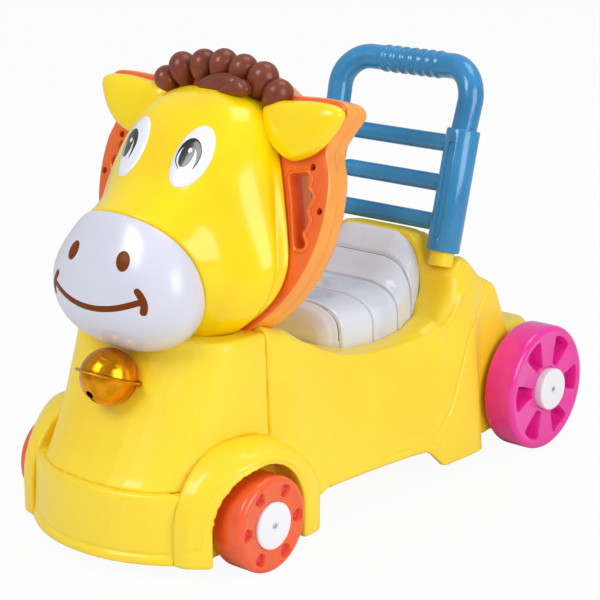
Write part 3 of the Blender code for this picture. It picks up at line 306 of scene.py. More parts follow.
@dataclass(frozen=True)
class PadInk:
    """Pad-printed ink under clear lacquer: flat colour that thins a little from one edge to the other."""

    name: str
    colour: str
    deep: str
    roughness: float = 0.25
    fade_from: float = 0.0
    fade_to: float = 1.0
    specular: float = 0.5
    grain_mm: float = 1.6
    grain_height_mm: float = 0.03
    lacquer: float = 0.8

    def build(self) -> bpy.types.Material:
        """Make the node material.

        Returns:
            The finished material.
        """
        material, tree, shader, place = started(self.name)
        # Grain of the printing pad, drawn coarser than life so that it shows
        grain = add_node(tree, "ShaderNodeTexNoise",
                         {"Vector": place, "Scale": per_mm(self.grain_mm), "Detail": 3.0})
        # The ink thins upwards between two heights
        parts = add_node(tree, "ShaderNodeSeparateXYZ", {"Vector": place})
        fade = add_node(tree, "ShaderNodeMapRange", {"Value": parts.outputs["Z"], "From Min": self.fade_from,
                                                     "From Max": self.fade_to})
        speck = add_node(tree, "ShaderNodeMath", {0: grain.outputs["Fac"], 1: 0.30}, operation="MULTIPLY")
        mixed = add_node(tree, "ShaderNodeMath", {0: fade.outputs["Result"], 1: speck.outputs["Value"]},
                         operation="ADD")
        tone = two_tones(tree, mixed.outputs["Value"], self.colour, self.deep, 0.15, 1.0)
        bump = add_node(tree, "ShaderNodeBump", {"Height": grain.outputs["Fac"], "Strength": 0.2,
                                                 "Distance": self.grain_height_mm * MM})
        feed(tree, shader, {"Base Color": tone, "Normal": bump.outputs["Normal"], "Roughness": self.roughness,
                            "Specular IOR Level": self.specular, "Coat Weight": self.lacquer * self.specular})
        return material


Finish = MouldedPlastic | PlatedPlastic | DrawnSteel | PadInk

BODY_YELLOW = MouldedPlastic("moulded_yellow", "FFDF30", "FFD826", roughness=0.30, coat=0.30, flow_mm=90.0,
                             specular=0.40)
HEAD_YELLOW = MouldedPlastic("gloss_yellow", "FFDE00", "FFD400", roughness=0.20, coat=0.40,
                             peel_height_mm=0.02, specular=0.35)
MUZZLE_WHITE = MouldedPlastic("muzzle_white", "DCDCE8", "D6D6E4", coat=0.45, peel_height_mm=0.015)
SEAT_WHITE = MouldedPlastic("moulded_white", "F4F4F7", "ECECF2", roughness=0.16, coat=0.60,
                            peel_height_mm=0.03)
DISC_ORANGE = MouldedPlastic("moulded_orange", "F06A1E", "EA6018", specular=0.40)
RIM_ORANGE = MouldedPlastic("rim_orange", "FAA240", "F59834", roughness=0.30, specular=0.40)
TUBE_BLUE = MouldedPlastic("moulded_blue", "2888BE", "1A72A6", roughness=0.20, coat=0.50,
                           peel_height_mm=0.008)
MANE_BROWN = MouldedPlastic("soft_brown", "80391F", "722F18", roughness=0.32, coat=0.25, flow_mm=22.0,
                            specular=0.35)
WHEEL_PINK = MouldedPlastic("wheel_pink", "F428A4", "EC1E98", roughness=0.18, coat=0.55)
WHEEL_RED = MouldedPlastic("wheel_red", "F45E24", "F05420", roughness=0.26, coat=0.40)
# Darker pads laid on the wheels' pocket floors: painted shade of the recesses
POCKET_SHADE_PINK = MouldedPlastic("pocket_magenta", "DC1488", "D00A7E", roughness=0.35, coat=0.20)
POCKET_SHADE_RED = MouldedPlastic("pocket_crimson", "E62E44", "DC2440", roughness=0.35, coat=0.20)
SEAT_GLOSS = MouldedPlastic("seat_gloss", "E0E4EE", "D2D6E2", roughness=0.12, coat=0.70, peel_height_mm=0.02)
# Dark grey on the floors of the seat's grooves: painted shade
GROOVE_SHADE_GREY = MouldedPlastic("groove_shade", "62646C", "585A62", roughness=0.60, coat=0.0, specular=0.20)
BELL_GOLD = PlatedPlastic("plated_gold", "F0A01C", "D88A10")
STEEL = DrawnSteel("drawn_steel", "C4C6CA", "A4A6AC")
MOUTH_BROWN = PadInk("ink_brown", "743400", "803C00", roughness=0.40, specular=0.10)
EYE_BLACK = PadInk("ink_black", "1C1C20", "101014", roughness=0.18)
EYE_GREY = PadInk("ink_grey", "54545A", "1C1C22", roughness=0.18, fade_from=0.356, fade_to=0.384)
GLINT_WHITE = PadInk("ink_white", "FFFFFF", "F4F4F8", roughness=0.18)


# Mesh helpers

def ring_edges(bm: bmesh.types.BMesh, ring: list) -> list:
    """Edges that join a ring's vertices in order."""
    return [bm.edges.get(pair) for pair in zip(ring, ring[1:] + ring[:1])]


def first_ring(bm: bmesh.types.BMesh, points: Sequence[Vector]) -> list:
    """Start a skin from a circle whose vertices are put on the points.

    Args:
        bm: The mesh under work.
        points: A place for each vertex, in order.

    Returns:
        The ring's vertices, in the same order.
    """
    ring = bmesh.ops.create_circle(bm, segments=len(points), radius=1.0)["verts"]
    for vert, point in zip(ring, points):
        vert.co = point
    return ring


def next_ring(bm: bmesh.types.BMesh, ring: list, points: Sequence[Vector]) -> list:
    """Extrude a ring and put its new vertices on the points.

    Args:
        bm: The mesh under work.
        ring: Vertices of the last ring, in order.
        points: A place for each of them.

    Returns:
        The new ring's vertices, in the same order.
    """
    made = bmesh.ops.extrude_edge_only(bm, edges=ring_edges(bm, ring))["geom"]
    fresh = {item for item in made if isinstance(item, bmesh.types.BMVert)}
    result = []
    for vert, point in zip(ring, points):
        twin = next(e.other_vert(vert) for e in vert.link_edges if e.other_vert(vert) in fresh)
        twin.co = point
        result.append(twin)
    return result


def close_ring(bm: bmesh.types.BMesh, ring: list, centre: Vector | None = None) -> None:
    """Close a skin's end with one face, or with a fan round a centre.

    Args:
        bm: The mesh under work.
        ring: Vertices of the last ring, in order.
        centre: Where the fan meets; none gives one flat face.
    """
    if centre is None:
        bmesh.ops.contextual_create(bm, geom=ring_edges(bm, ring))
        return
    tip = next_ring(bm, ring, [centre] * len(ring))
    bmesh.ops.pointmerge(bm, verts=tip, merge_co=centre)


def loft(bm: bmesh.types.BMesh, rings: Sequence[Sequence[Vector]], start: Vector | None = None,
         end: Vector | None = None, closed: bool = False) -> None:
    """Skin a row of rings and close both ends, or join the last ring to the first.

    Args:
        bm: The mesh under work.
        rings: Rings of as many points each, in order.
        start: Centre of the fan that closes the first ring, if any.
        end: Centre of the fan that closes the last ring, if any.
        closed: Whether the last ring joins the first.
    """
    first = first_ring(bm, rings[0])
    ring = first
    for points in rings[1:]:
        ring = next_ring(bm, ring, points)
    if closed:
        bmesh.ops.bridge_loops(bm, edges=ring_edges(bm, first) + ring_edges(bm, ring))
        return
    close_ring(bm, first, start)
    close_ring(bm, ring, end)


def spun(bm: bmesh.types.BMesh, profile: Pairs, steps: int, closed: bool = False) -> None:
    """Spin a profile of (radius, height) round the Z axis.

    Args:
        bm: The mesh under work.
        profile: Radius and height of each point.
        steps: Faces round the axis.
        closed: Whether the profile joins its own start.
    """
    verts = [bm.verts.new((r, 0.0, z)) for r, z in profile]
    pairs = list(zip(verts, verts[1:]))
    if closed:
        pairs.append((verts[-1], verts[0]))
    edges = [bm.edges.new(pair) for pair in pairs]
    bmesh.ops.spin(bm, geom=verts + edges, cent=(0, 0, 0), axis=(0, 0, 1), angle=math.tau, steps=steps,
                   use_merge=True, use_duplicate=False)
    bmesh.ops.remove_doubles(bm, verts=bm.verts, dist=0.01 * MM)


def smooth_loop(points: Pairs, share: int, closed: bool = True) -> list[tuple[float, float]]:
    """Points on a smooth curve through the given ones.

    Args:
        points: Places that the curve passes through.
        share: Points made for each given one.
        closed: Whether the curve joins its own start.

    Returns:
        The finer row of points.
    """
    total = len(points)
    spans = total if closed else total - 1
    result = []
    for i in range(spans):
        if closed:
            a, b, c, d = (Vector(points[(i + k) % total]) for k in (-1, 0, 1, 2))
        else:
            a, b, c, d = (Vector(points[min(max(i + k, 0), total - 1)]) for k in (-1, 0, 1, 2))
        for step in range(share):
            t = step / share
            place = 0.5 * (2 * b + (c - a) * t + (2 * a - 5 * b + 4 * c - d) * t ** 2
                           + (3 * b - a - 3 * c + d) * t ** 3)
            result.append(tuple(place))
    if not closed:
        result.append(tuple(points[-1]))
    return result


def power(value: float, exponent: float) -> float:
    """Signed power."""
    return math.copysign(abs(value) ** exponent, value)


def along(table: Pairs, x: float) -> float:
    """Value read from a table of (x, value) with soft blending between rows.

    Args:
        table: Rows in rising order of x.
        x: Where to read.

    Returns:
        The value there, or that of the nearest end.
    """
    if x <= table[0][0]:
        return table[0][1]
    for (x0, v0), (x1, v1) in zip(table, table[1:]):
        if x <= x1:
            t = (x - x0) / (x1 - x0)
            return v0 + (v1 - v0) * t * t * (3 - 2 * t)
    return table[-1][1]


def straight(table: Pairs, x: float) -> float:
    """Value read from a table of (x, value) along straight lines.

    Args:
        table: Rows in rising order of x.
        x: Where to read.

    Returns:
        The value there, or that of the nearest end.
    """
    if x <= table[0][0]:
        return table[0][1]
    for (x0, v0), (x1, v1) in zip(table, table[1:]):
        if x <= x1:
            return v0 + (v1 - v0) * (x - x0) / (x1 - x0)
    return table[-1][1]


def land(tree: BVHTree, place: Vector, way: Vector, lift: float) -> Vector:
    """Drop a point onto a surface and raise it by a little along the surface's normal.

    Args:
        tree: The surface.
        place: The point before its drop.
        way: Direction of the drop.
        lift: How far above the surface it ends.

    Returns:
        The point on the surface.
    """
    hit, normal, _, _ = tree.ray_cast(place - way * DROP, way)
    if hit is None:
        hit, normal, _, _ = tree.find_nearest(place)
    if normal.dot(way) > 0:
        normal = -normal
    return hit + normal * lift


# How far an edge is sunk into the surface that carries it
SUNK = -0.4 * MM
# A domed plate from its edge inwards: share of its outline, and height above the surface
PATCH_RINGS = ((1.0, SUNK), (1.0, 0.15 * MM), (0.985, 0.35 * MM), (0.80, 0.60 * MM), (0.50, 0.85 * MM),
               (0.25, 0.95 * MM))
PATCH_TOP = 1.0 * MM
# Section of a crowned strip: share of its half width, and of its crown
STROKE_SECTION = ((-1.0, -0.4), (-1.0, 0.25), (-0.86, 0.60), (-0.45, 0.92), (0.0, 1.0), (0.45, 0.92),
                  (0.86, 0.60), (1.0, 0.25), (1.0, -0.4))


def patch(bm: bmesh.types.BMesh, tree: BVHTree, outline: Sequence[Vector], way: Vector, scale: float = 1.0,
          base: float = 0.0) -> None:
    """Lay a domed plate of any outline on a surface.

    Args:
        bm: The mesh under work.
        tree: The surface that carries the plate.
        outline: Its edge before it is dropped along the way.
        way: Direction of the drop.
        scale: Height of the dome against the usual one.
        base: How far the plate is raised as a whole, where it lies on another.
    """
    centre = sum(outline, Vector()) / len(outline)
    rings = []
    for share, lift in PATCH_RINGS:
        height = lift * scale + base if lift > 0 else lift
        rings.append([land(tree, centre + (point - centre) * share, way, height) for point in outline])
    loft(bm, rings, None, land(tree, centre, way, PATCH_TOP * scale + base))


def stroke(bm: bmesh.types.BMesh, tree: BVHTree, path: Sequence[Vector], widths: Sequence[float],
           way: Vector, crown: float, base: float = 0.0) -> None:
    """Lay a crowned strip along a path on a surface.

    Args:
        bm: The mesh under work.
        tree: The surface that carries the strip.
        path: Its centre line before it is dropped along the way.
        widths: Half width at each point of the path.
        way: Direction of the drop.
        crown: Height of its middle above the surface.
        base: How far the whole strip is raised.
    """
    rings = []
    for i, (place, width) in enumerate(zip(path, widths)):
        run = (path[min(i + 1, len(path) - 1)] - path[max(i - 1, 0)]).normalized()
        across = run.cross(way).normalized()
        ring = []
        for share, height in STROKE_SECTION:
            lift = crown * height + base if height > 0 else SUNK
            ring.append(land(tree, place + across * (share * width), way, lift))
        rings.append(ring)
    loft(bm, rings)


# Placing and joining pieces

@dataclass
class Workshop:
    """Keeps the finishes in use and puts finished pieces into the scene."""

    made: dict = field(default_factory=dict)
    count: int = 0

    def material(self, finish: Finish) -> bpy.types.Material:
        """Material of a finish, made once.

        Args:
            finish: The finish.

        Returns:
            Its material.
        """
        if finish.name not in self.made:
            self.made[finish.name] = finish.build()
        return self.made[finish.name]

    def mesh_object(self, name: str, bm: bmesh.types.BMesh, angle: float = 38.0) -> bpy.types.Object:
        """Turn a bmesh into an object with clean outward normals and smooth shading.

        Args:
            name: Name of the object.
            bm: The mesh, which is used up.
            angle: Degrees from which an edge is shaded sharp.

        Returns:
            The new object in the scene.
        """
        bmesh.ops.recalc_face_normals(bm, faces=bm.faces)
        mesh = bpy.data.meshes.new(name)
        bm.to_mesh(mesh)
        bm.free()
        mesh.shade_smooth()
        mesh.set_sharp_from_angle(angle=math.radians(angle))
        piece = bpy.data.objects.new(name, mesh)
        bpy.context.scene.collection.objects.link(piece)
        return piece

    def settle(self, piece: bpy.types.Object, angle: float = 38.0) -> bpy.types.Object:
        """Apply a piece's modifiers to its mesh.

        Args:
            piece: The piece.
            angle: Degrees from which an edge is shaded sharp.

        Returns:
            The same piece.
        """
        graph = bpy.context.evaluated_depsgraph_get()
        mesh = bpy.data.meshes.new_from_object(piece.evaluated_get(graph))
        piece.modifiers.clear()
        piece.data = mesh
        mesh.shade_smooth()
        mesh.set_sharp_from_angle(angle=math.radians(angle))
        return piece

    def subdivide(self, piece: bpy.types.Object, levels: int) -> bpy.types.Object:
        """Round a piece by subdivision.

        Args:
            piece: The piece.
            levels: How often its faces are divided.

        Returns:
            The same piece.
        """
        step = piece.modifiers.new("round", "SUBSURF")
        step.levels = levels
        step.render_levels = levels
        return self.settle(piece, 60.0)

    def cut(self, piece: bpy.types.Object, tool: bpy.types.Object, union: bool = False) -> bpy.types.Object:
        """Take a tool's form out of a piece, or add it, and remove the tool.

        Args:
            piece: The piece.
            tool: The form, which is used up.
            union: Whether the form is added.

        Returns:
            The same piece.
        """
        step = piece.modifiers.new("cut", "BOOLEAN")
        step.operation = "UNION" if union else "DIFFERENCE"
        step.solver = "MANIFOLD"
        step.object = tool
        self.settle(piece)
        bpy.data.objects.remove(tool)
        return piece

    def soften(self, piece: bpy.types.Object, width: float, segments: int = 3, angle: float = 40.0) -> None:
        """Round a piece's sharp edges by a small bevel.

        Args:
            piece: The piece.
            width: Width of the bevel.
            segments: Faces across it.
            angle: Degrees from which an edge is sharp.
        """
        step = piece.modifiers.new("soften", "BEVEL")
        step.width = width
        step.segments = segments
        step.limit_method = "ANGLE"
        step.angle_limit = math.radians(angle)
        step.harden_normals = True

    def dress(self, piece: bpy.types.Object, finish: Finish, body: str, slot: str = "",
              hides: Sequence[str] = ()) -> bpy.types.Object:
        """Give a piece its finish, its body and the solids that it stands for.

        Args:
            piece: The finished piece.
            finish: Its finish.
            body: Body that it moves with.
            slot: The record's slot for the piece, if any; not used.
            hides: Names of the solids that it stands for.

        Returns:
            The same piece.
        """
        piece.data.materials.clear()
        piece.data.materials.append(self.material(finish))
        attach(piece, body)
        if hides:
            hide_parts(*hides)
        self.count += 1
        LOG.info("%s in %s on %s, %d faces", piece.name, finish.name, body, len(piece.data.polygons))
        return piece

    def tree(self, piece: bpy.types.Object) -> BVHTree:
        """Surface of a finished piece, to lay others on."""
        return BVHTree.FromObject(piece, bpy.context.evaluated_depsgraph_get())


def moved(bm: bmesh.types.BMesh, matrix: Matrix) -> None:
    """Move everything in a bmesh by a matrix."""
    bmesh.ops.transform(bm, matrix=matrix, verts=bm.verts)


def slab(points: Pairs, low: float, high: float) -> bmesh.types.BMesh:
    """A straight block on an outline in the XY plane.

    Args:
        points: The outline.
        low: Height of its foot.
        high: Height of its top.

    Returns:
        The block.
    """
    bm = bmesh.new()
    loft(bm, [[Vector((x, y, z)) for x, y in points] for z in (low, high)])
    return bm


# Head

@dataclass
class Head:
    """Head shell, muzzle, eyes, printed mouth and nostrils, ears and mane, in the disc's leaning frame."""

    shop: Workshop
    # Half outline of the pear: across and up, as shares of a ring's half width and half height
    outline: tuple = ((0.0, 1.0), (0.17, 0.995), (0.34, 0.965), (0.50, 0.895), (0.60, 0.745),
                      (0.71, 0.557), (0.81, 0.290), (0.917, -0.016), (0.985, -0.230), (1.0, -0.350),
                      (0.975, -0.504), (0.884, -0.666), (0.711, -0.833), (0.520, -0.925), (0.34, -0.970),
                      (0.17, -0.992), (0.0, -1.0))
    oval_power: float = 2 / 2.2
    # Each ring: top forward and up, foot forward and up, half width, sag, share of the pear outline
    rings: tuple = ((0.0003, 0.0920, 0.0003, -0.1400, 0.1183, 0.0, 1.0),
                    (0.0030, 0.0918, 0.0022, -0.1420, 0.1183, 0.0, 1.0),
                    (0.0190, 0.0885, 0.0130, -0.1515, 0.1165, 0.0, 0.95),
                    (0.0380, 0.0800, 0.0210, -0.1545, 0.1120, 0.0020, 0.85),
                    (0.0530, 0.0665, 0.0280, -0.1570, 0.1060, 0.0050, 0.72),
                    (0.0640, 0.0450, 0.0340, -0.1580, 0.1000, 0.0080, 0.58),
                    (0.0730, 0.0200, 0.0375, -0.1585, 0.0950, 0.0105, 0.44),
                    (0.0850, -0.0080, 0.0400, -0.1590, 0.0870, 0.0135, 0.25),
                    (0.1000, -0.0270, 0.0412, -0.1595, 0.0810, 0.0155, 0.10),
                    (0.1150, -0.0392, 0.0419, -0.1591, 0.0758, 0.0164, 0.0),
                    (0.1165, -0.0400, 0.0420, -0.1590, 0.0755, 0.0165, 0.0))
    # Rings added behind the cheek's fold: share of the way to the next ring, and how far it is drawn in
    cheek_fold: tuple = ((0.30, 0.0010), (0.62, 0.0060), (0.80, 0.0052))
    # Middle and reach of the fold up the ring, as shares of its half height
    cheek_middle: float = -0.12
    cheek_reach: float = 0.42
    # Each muzzle ring: forward of the joint, its top, its foot, half width, sag
    muzzle_rings: tuple = ((0.0005, 0.0706, -0.0704, 0.0760, 0.0165),
                           (0.0020, 0.0708, -0.0708, 0.0772, 0.0165),
                           (0.0070, 0.0683, -0.0704, 0.0805, 0.0160),
                           (0.0170, 0.0607, -0.0670, 0.0837, 0.0145),
                           (0.0290, 0.0500, -0.0606, 0.0845, 0.0115),
                           (0.0405, 0.0373, -0.0517, 0.0770, 0.0080),
                           (0.0510, 0.0217, -0.0387, 0.0593, 0.0040),
                           (0.0580, 0.0050, -0.0225, 0.0310, 0.0015))
    muzzle_tip: tuple = (0.0600, 0.0085)
    eye_centre: tuple = (0.0378, 0.0208)
    eye_half: tuple = (0.0182, 0.0298)
    eye_turn: float = math.radians(-3)
    eye_dome: float = 1.9
    # Printed crescent from its thin left end over the top to its right end, with half widths
    crescent: tuple = ((0.0311, 0.0078), (0.0262, 0.0125), (0.0238, 0.0170), (0.0235, 0.0220),
                       (0.0250, 0.0278), (0.0287, 0.0326), (0.0335, 0.0346), (0.0387, 0.0330),
                       (0.0430, 0.0285), (0.0451, 0.0235), (0.0457, 0.0180), (0.0452, 0.0130),
                       (0.0440, 0.0092))
    crescent_widths: tuple = (0.0003, 0.0005, 0.0007, 0.0010, 0.0017, 0.0026, 0.0032, 0.0032, 0.0028,
                              0.0023, 0.0016, 0.0009, 0.0003)
    iris: tuple = (0.0335, 0.0216)
    iris_half: tuple = (0.0072, 0.0120)
    glint: tuple = (0.0352, 0.0262)
    glint_half: tuple = (0.0020, 0.0023)
    left_pupil_x: float = 0.0348
    right_pupil_x: float = -0.0440
    right_pupil_share: float = 0.85
    nostril: tuple = (0.0321, 0.2895)
    nostril_half: tuple = (0.0066, 0.0090)
    nostril_turn: float = math.radians(26.0)
    # Right half of the printed smile, and the tick across its end
    smile: tuple = ((0.0, 0.2441), (0.0125, 0.2447), (0.0260, 0.2467), (0.0365, 0.2493), (0.0463, 0.2526),
                    (0.0570, 0.2566))
    smile_half: float = 0.0029
    tick: tuple = ((0.0498, 0.2676), (0.0549, 0.2620), (0.0583, 0.2552), (0.0583, 0.2490), (0.0565, 0.2440))
    tick_half: float = 0.0032
    ear_edge: tuple = ((0.0600, 0.0760), (0.0700, 0.0500), (0.0980, 0.0325), (0.1200, 0.0372),
                       (0.1370, 0.0490), (0.1495, 0.0655), (0.1552, 0.0790), (0.1518, 0.0853),
                       (0.1420, 0.0884), (0.1200, 0.0893), (0.0950, 0.0873), (0.0720, 0.0845))
    ear_middle: tuple = (0.1080, 0.0660)
    # Share of the ear's outline at each depth
    ear_layers: tuple = ((1.0, 0.0004), (1.0, 0.0040), (0.985, 0.0080), (0.94, 0.0115), (0.86, 0.0140),
                         (0.72, 0.0158), (0.50, 0.0170), (0.25, 0.0174))
    ear_depth: float = 0.0175
    # Each curl: across and up of its middle, half width, reach outwards and inwards
    curls: tuple = ((-0.0700, 0.0905, 0.0125, 0.0135, 0.0190), (-0.0520, 0.1040, 0.0138, 0.0150, 0.0230),
                    (-0.0255, 0.1090, 0.0140, 0.0150, 0.0240), (0.0, 0.1115, 0.0140, 0.0152, 0.0240),
                    (0.0255, 0.1090, 0.0140, 0.0150, 0.0240), (0.0520, 0.1040, 0.0150, 0.0155, 0.0260),
                    (0.0735, 0.0915, 0.0135, 0.0140, 0.0250))
    curl_root: tuple = (0.0, -0.0150)
    curl_half: float = 0.0145
    curl_depth: float = 0.0045
    curl_step: float = 0.0006
    curl_taper: float = 0.62
    # Each lock: its outline across and up, and how far forward its middle lies
    locks: tuple = ((((-0.0226, 0.0863), (-0.0162, 0.0918), (-0.0083, 0.0969), (0.0037, 0.1013),
                      (0.0174, 0.1033), (0.0278, 0.1020), (0.0327, 0.0974), (0.0220, 0.0930),
                      (0.0065, 0.0920), (-0.0068, 0.0888), (-0.0151, 0.0862)), 0.0175),
                    (((-0.0214, 0.0812), (-0.0147, 0.0853), (-0.0069, 0.0909), (0.0035, 0.0967),
                      (0.0155, 0.1003), (0.0290, 0.1015), (0.0370, 0.0975), (0.0354, 0.0880),
                      (0.0161, 0.0835), (0.0039, 0.0815), (-0.0088, 0.0805)), 0.0205),
                    (((0.0151, 0.0840), (0.0206, 0.0890), (0.0283, 0.0946), (0.0363, 0.0982),
                      (0.0437, 0.0985), (0.0507, 0.0934), (0.0511, 0.0870), (0.0415, 0.0830),
                      (0.0293, 0.0825)), 0.0235))
    # Share of a lock's outline at each rise above its middle
    lock_layers: tuple = ((1.0, -0.0050), (1.0, -0.0004), (0.97, 0.0012), (0.88, 0.0028), (0.70, 0.0040),
                          (0.42, 0.0047))
    lock_rise: float = 0.0049

    def egg(self, share: float) -> list[tuple[float, float]]:
        """Half outline from the top to the foot, part pear and part oval.

        Args:
            share: Share of the pear; the rest is oval.

        Returns:
            Across and up of each point, as shares of the half sizes.
        """
        points = []
        last = len(self.outline) - 1
        for k, (x, v) in enumerate(self.outline):
            a = math.pi * k / last
            oval_x = power(math.sin(a), self.oval_power) if 0 < k < last else 0.0
            oval_v = power(math.cos(a), self.oval_power)
            points.append((oval_x + (x - oval_x) * share, oval_v + (v - oval_v) * share))
        return points

    def ring(self, top: tuple, foot: tuple, wide: float, sag: float, share: float,
             pinch: float = 0.0) -> list[Vector]:
        """One ring of the head between a top and a foot point.

        Args:
            top: Forward and up of the ring's top.
            foot: Forward and up of its foot.
            wide: Half width.
            sag: How far its sides fall back.
            share: Share of the pear outline.
            pinch: How far the cheeks are drawn in behind their fold.

        Returns:
            Points of the ring in the shared frame.
        """
        high_point, low_point = Vector(top), Vector(foot)
        middle, up = (high_point + low_point) / 2, (high_point - low_point).normalized()
        half = (high_point - low_point).length / 2
        forward = Vector((up.y, -up.x))
        right = []
        for x, v in self.egg(share):
            place = middle + up * (v * half) - forward * (sag * x * x)
            draw_in = pinch * math.exp(-((v - self.cheek_middle) / self.cheek_reach) ** 2) * x
            right.append((x * wide - draw_in, place.x, place.y))
        left = [(-x, d, s) for x, d, s in reversed(right[1:-1])]
        return [DISC_PLANE @ Vector((x, s, d)) for x, d, s in right + left]

    def shell(self) -> bpy.types.Object:
        """Head shell with the cheek fold in front of its rear band.

        Returns:
            The head's piece.
        """
        bm = bmesh.new()
        rows = []
        for i, (d0, s0, d1, s1, wide, sag, share) in enumerate(self.rings):
            rows.append(self.ring((d0, s0), (d1, s1), wide, sag, share))
            if i == 1:
                after = self.rings[2]
                for t, pinch in self.cheek_fold:
                    mixed = [a + (b - a) * t for a, b in zip(self.rings[1], after)]
                    rows.append(self.ring(mixed[0:2], mixed[2:4], mixed[4], mixed[5], mixed[6], pinch))
        loft(bm, rows)
        piece = self.shop.subdivide(self.shop.mesh_object("head_skin", bm), 2)
        return self.shop.dress(piece, HEAD_YELLOW, CHASSIS, "head_yellow_shell", ["head_shell"])

    def muzzle(self) -> bpy.types.Object:
        """Smooth muzzle shell, closed at its nose.

        Returns:
            The muzzle's piece.
        """
        d0, s0, d1, s1 = self.rings[-1][:4]
        top, foot = Vector((d0, s0)), Vector((d1, s1))
        middle, up = (top + foot) / 2, (top - foot).normalized()
        forward = Vector((up.y, -up.x))
        rows = []
        for ahead, high, low, wide, sag in self.muzzle_rings:
            place = middle + forward * ahead
            rows.append(self.ring(place + up * high, place + up * low, wide, sag, 0.0))
        ahead, below = self.muzzle_tip
        tip = middle + forward * ahead - up * below
        bm = bmesh.new()
        loft(bm, rows, None, DISC_PLANE @ Vector((0.0, tip.y, tip.x)))
        piece = self.shop.subdivide(self.shop.mesh_object("muzzle_skin", bm), 2)
        return self.shop.dress(piece, MUZZLE_WHITE, CHASSIS, "muzzle_white_shell", ["muzzle_shell"])

    def eye_outline(self, side: Side, centre: tuple, half: tuple, turn: float,
                    steps: int = 48) -> list[Vector]:
        """Edge of an oval on the face before it is dropped onto the head.

        Args:
            side: Side of the animal.
            centre: Across and up of its middle.
            half: Half width and half height.
            turn: How far it is turned.
            steps: Points round it.

        Returns:
            The points, ahead of the face.
        """
        points = []
        for k in range(steps):
            a = math.tau * k / steps
            x = half[0] * math.cos(a)
            y = half[1] * math.sin(a)
            place_x = side.value * (centre[0] + (x * math.cos(turn) - y * math.sin(turn)))
            place_s = centre[1] + (x * math.sin(turn) + y * math.cos(turn))
            points.append(DISC_PLANE @ Vector((place_x, place_s, FACE_AHEAD)))
        return points

    def pupil_spot(self, side: Side, x: float, s: float) -> Vector:
        """Place on the face of a printed point; both pupils are alike and look to the animal's right.

        Args:
            side: Side of the animal.
            x: Across, as printed on the left eye.
            s: Up.

        Returns:
            The place, ahead of the face.
        """
        if side is Side.RIGHT:
            x = self.right_pupil_x + self.right_pupil_share * (x - self.left_pupil_x)
        return DISC_PLANE @ Vector((x, s, FACE_AHEAD))

    def eye(self, side: Side, head: BVHTree) -> None:
        """White eye plate with its printed crescent, iris and glint.

        Args:
            side: Side of the animal.
            head: Surface of the head.
        """
        way = DISC_PLANE.to_3x3() @ Vector((0.0, 0.0, -1.0))
        bm = bmesh.new()
        patch(bm, head, self.eye_outline(side, self.eye_centre, self.eye_half, self.eye_turn), way,
              self.eye_dome)
        plate = self.shop.mesh_object(f"eye_plate_{side.word}", bm, 70.0)
        self.shop.dress(plate, SEAT_WHITE, CHASSIS, "white_shell", [f"eye_{side.word}"])
        surface = self.shop.tree(plate)
        bm = bmesh.new()
        line = smooth_loop(self.crescent, 4, closed=False)
        rows = [(width, 0.0) for width in self.crescent_widths]
        widths = [width for width, _ in smooth_loop(rows, 4, closed=False)]
        stroke(bm, surface, [self.pupil_spot(side, x, s) for x, s in line], widths, way, 0.12 * MM)
        self.shop.dress(self.shop.mesh_object(f"pupil_{side.word}", bm, 70.0), EYE_BLACK, CHASSIS)
        # Each print's place, half sizes, height of its dome and lift off the plate
        for word, finish, (x, s), (wide, high), scale, base in (
                ("iris", EYE_GREY, self.iris, self.iris_half, 0.10, 0.00004),
                ("glint", GLINT_WHITE, self.glint, self.glint_half, 0.16, 0.00020)):
            edge = []
            for k in range(36):
                a = math.tau * k / 36
                edge.append(self.pupil_spot(side, x + wide * math.cos(a), s + high * math.sin(a)))
            bm = bmesh.new()
            patch(bm, surface, edge, way, scale, base)
            self.shop.dress(self.shop.mesh_object(f"{word}_{side.word}", bm, 70.0), finish, CHASSIS)

    def mouth(self, muzzle: BVHTree) -> None:
        """Printed smile with its end ticks, and two nostrils.

        Args:
            muzzle: Surface of the muzzle.
        """
        way = Vector((0.0, 1.0, 0.0))
        smile = [(-x, z) for x, z in reversed(self.smile[1:])] + list(self.smile)
        line = smooth_loop(smile, 6, closed=False)
        path = [Vector((x, MUZZLE_AHEAD_Y, z)) for x, z in line]
        bm = bmesh.new()
        stroke(bm, muzzle, path, [self.smile_half] * len(path), way, 0.35 * MM)
        tick = smooth_loop(self.tick, 5, closed=False)
        for side in Side:
            path = [Vector((side.value * x, MUZZLE_AHEAD_Y, z)) for x, z in tick]
            last = len(path) - 1
            widths = []
            for k in range(last + 1):
                round_end = max(0.06, 1 - (abs(2 * k / last - 1)) ** 6)
                widths.append(self.tick_half * math.sqrt(round_end))
            stroke(bm, muzzle, path, widths, way, 0.40 * MM, 0.02 * MM)
        self.shop.dress(self.shop.mesh_object("mouth_line", bm, 60.0), MOUTH_BROWN, CHASSIS)
        for side in Side:
            x, z = self.nostril
            edge = []
            for k in range(32):
                a = math.tau * k / 32
                oval = Vector((self.nostril_half[0] * math.cos(a), self.nostril_half[1] * math.sin(a)))
                spot = Matrix.Rotation(self.nostril_turn, 2) @ oval
                edge.append(Vector((side.value * (x + spot.x), MUZZLE_AHEAD_Y, z + spot.y)))
            bm = bmesh.new()
            patch(bm, muzzle, edge, way, 0.5)
            self.shop.dress(self.shop.mesh_object(f"nostril_{side.word}", bm, 60.0), MOUTH_BROWN, CHASSIS)

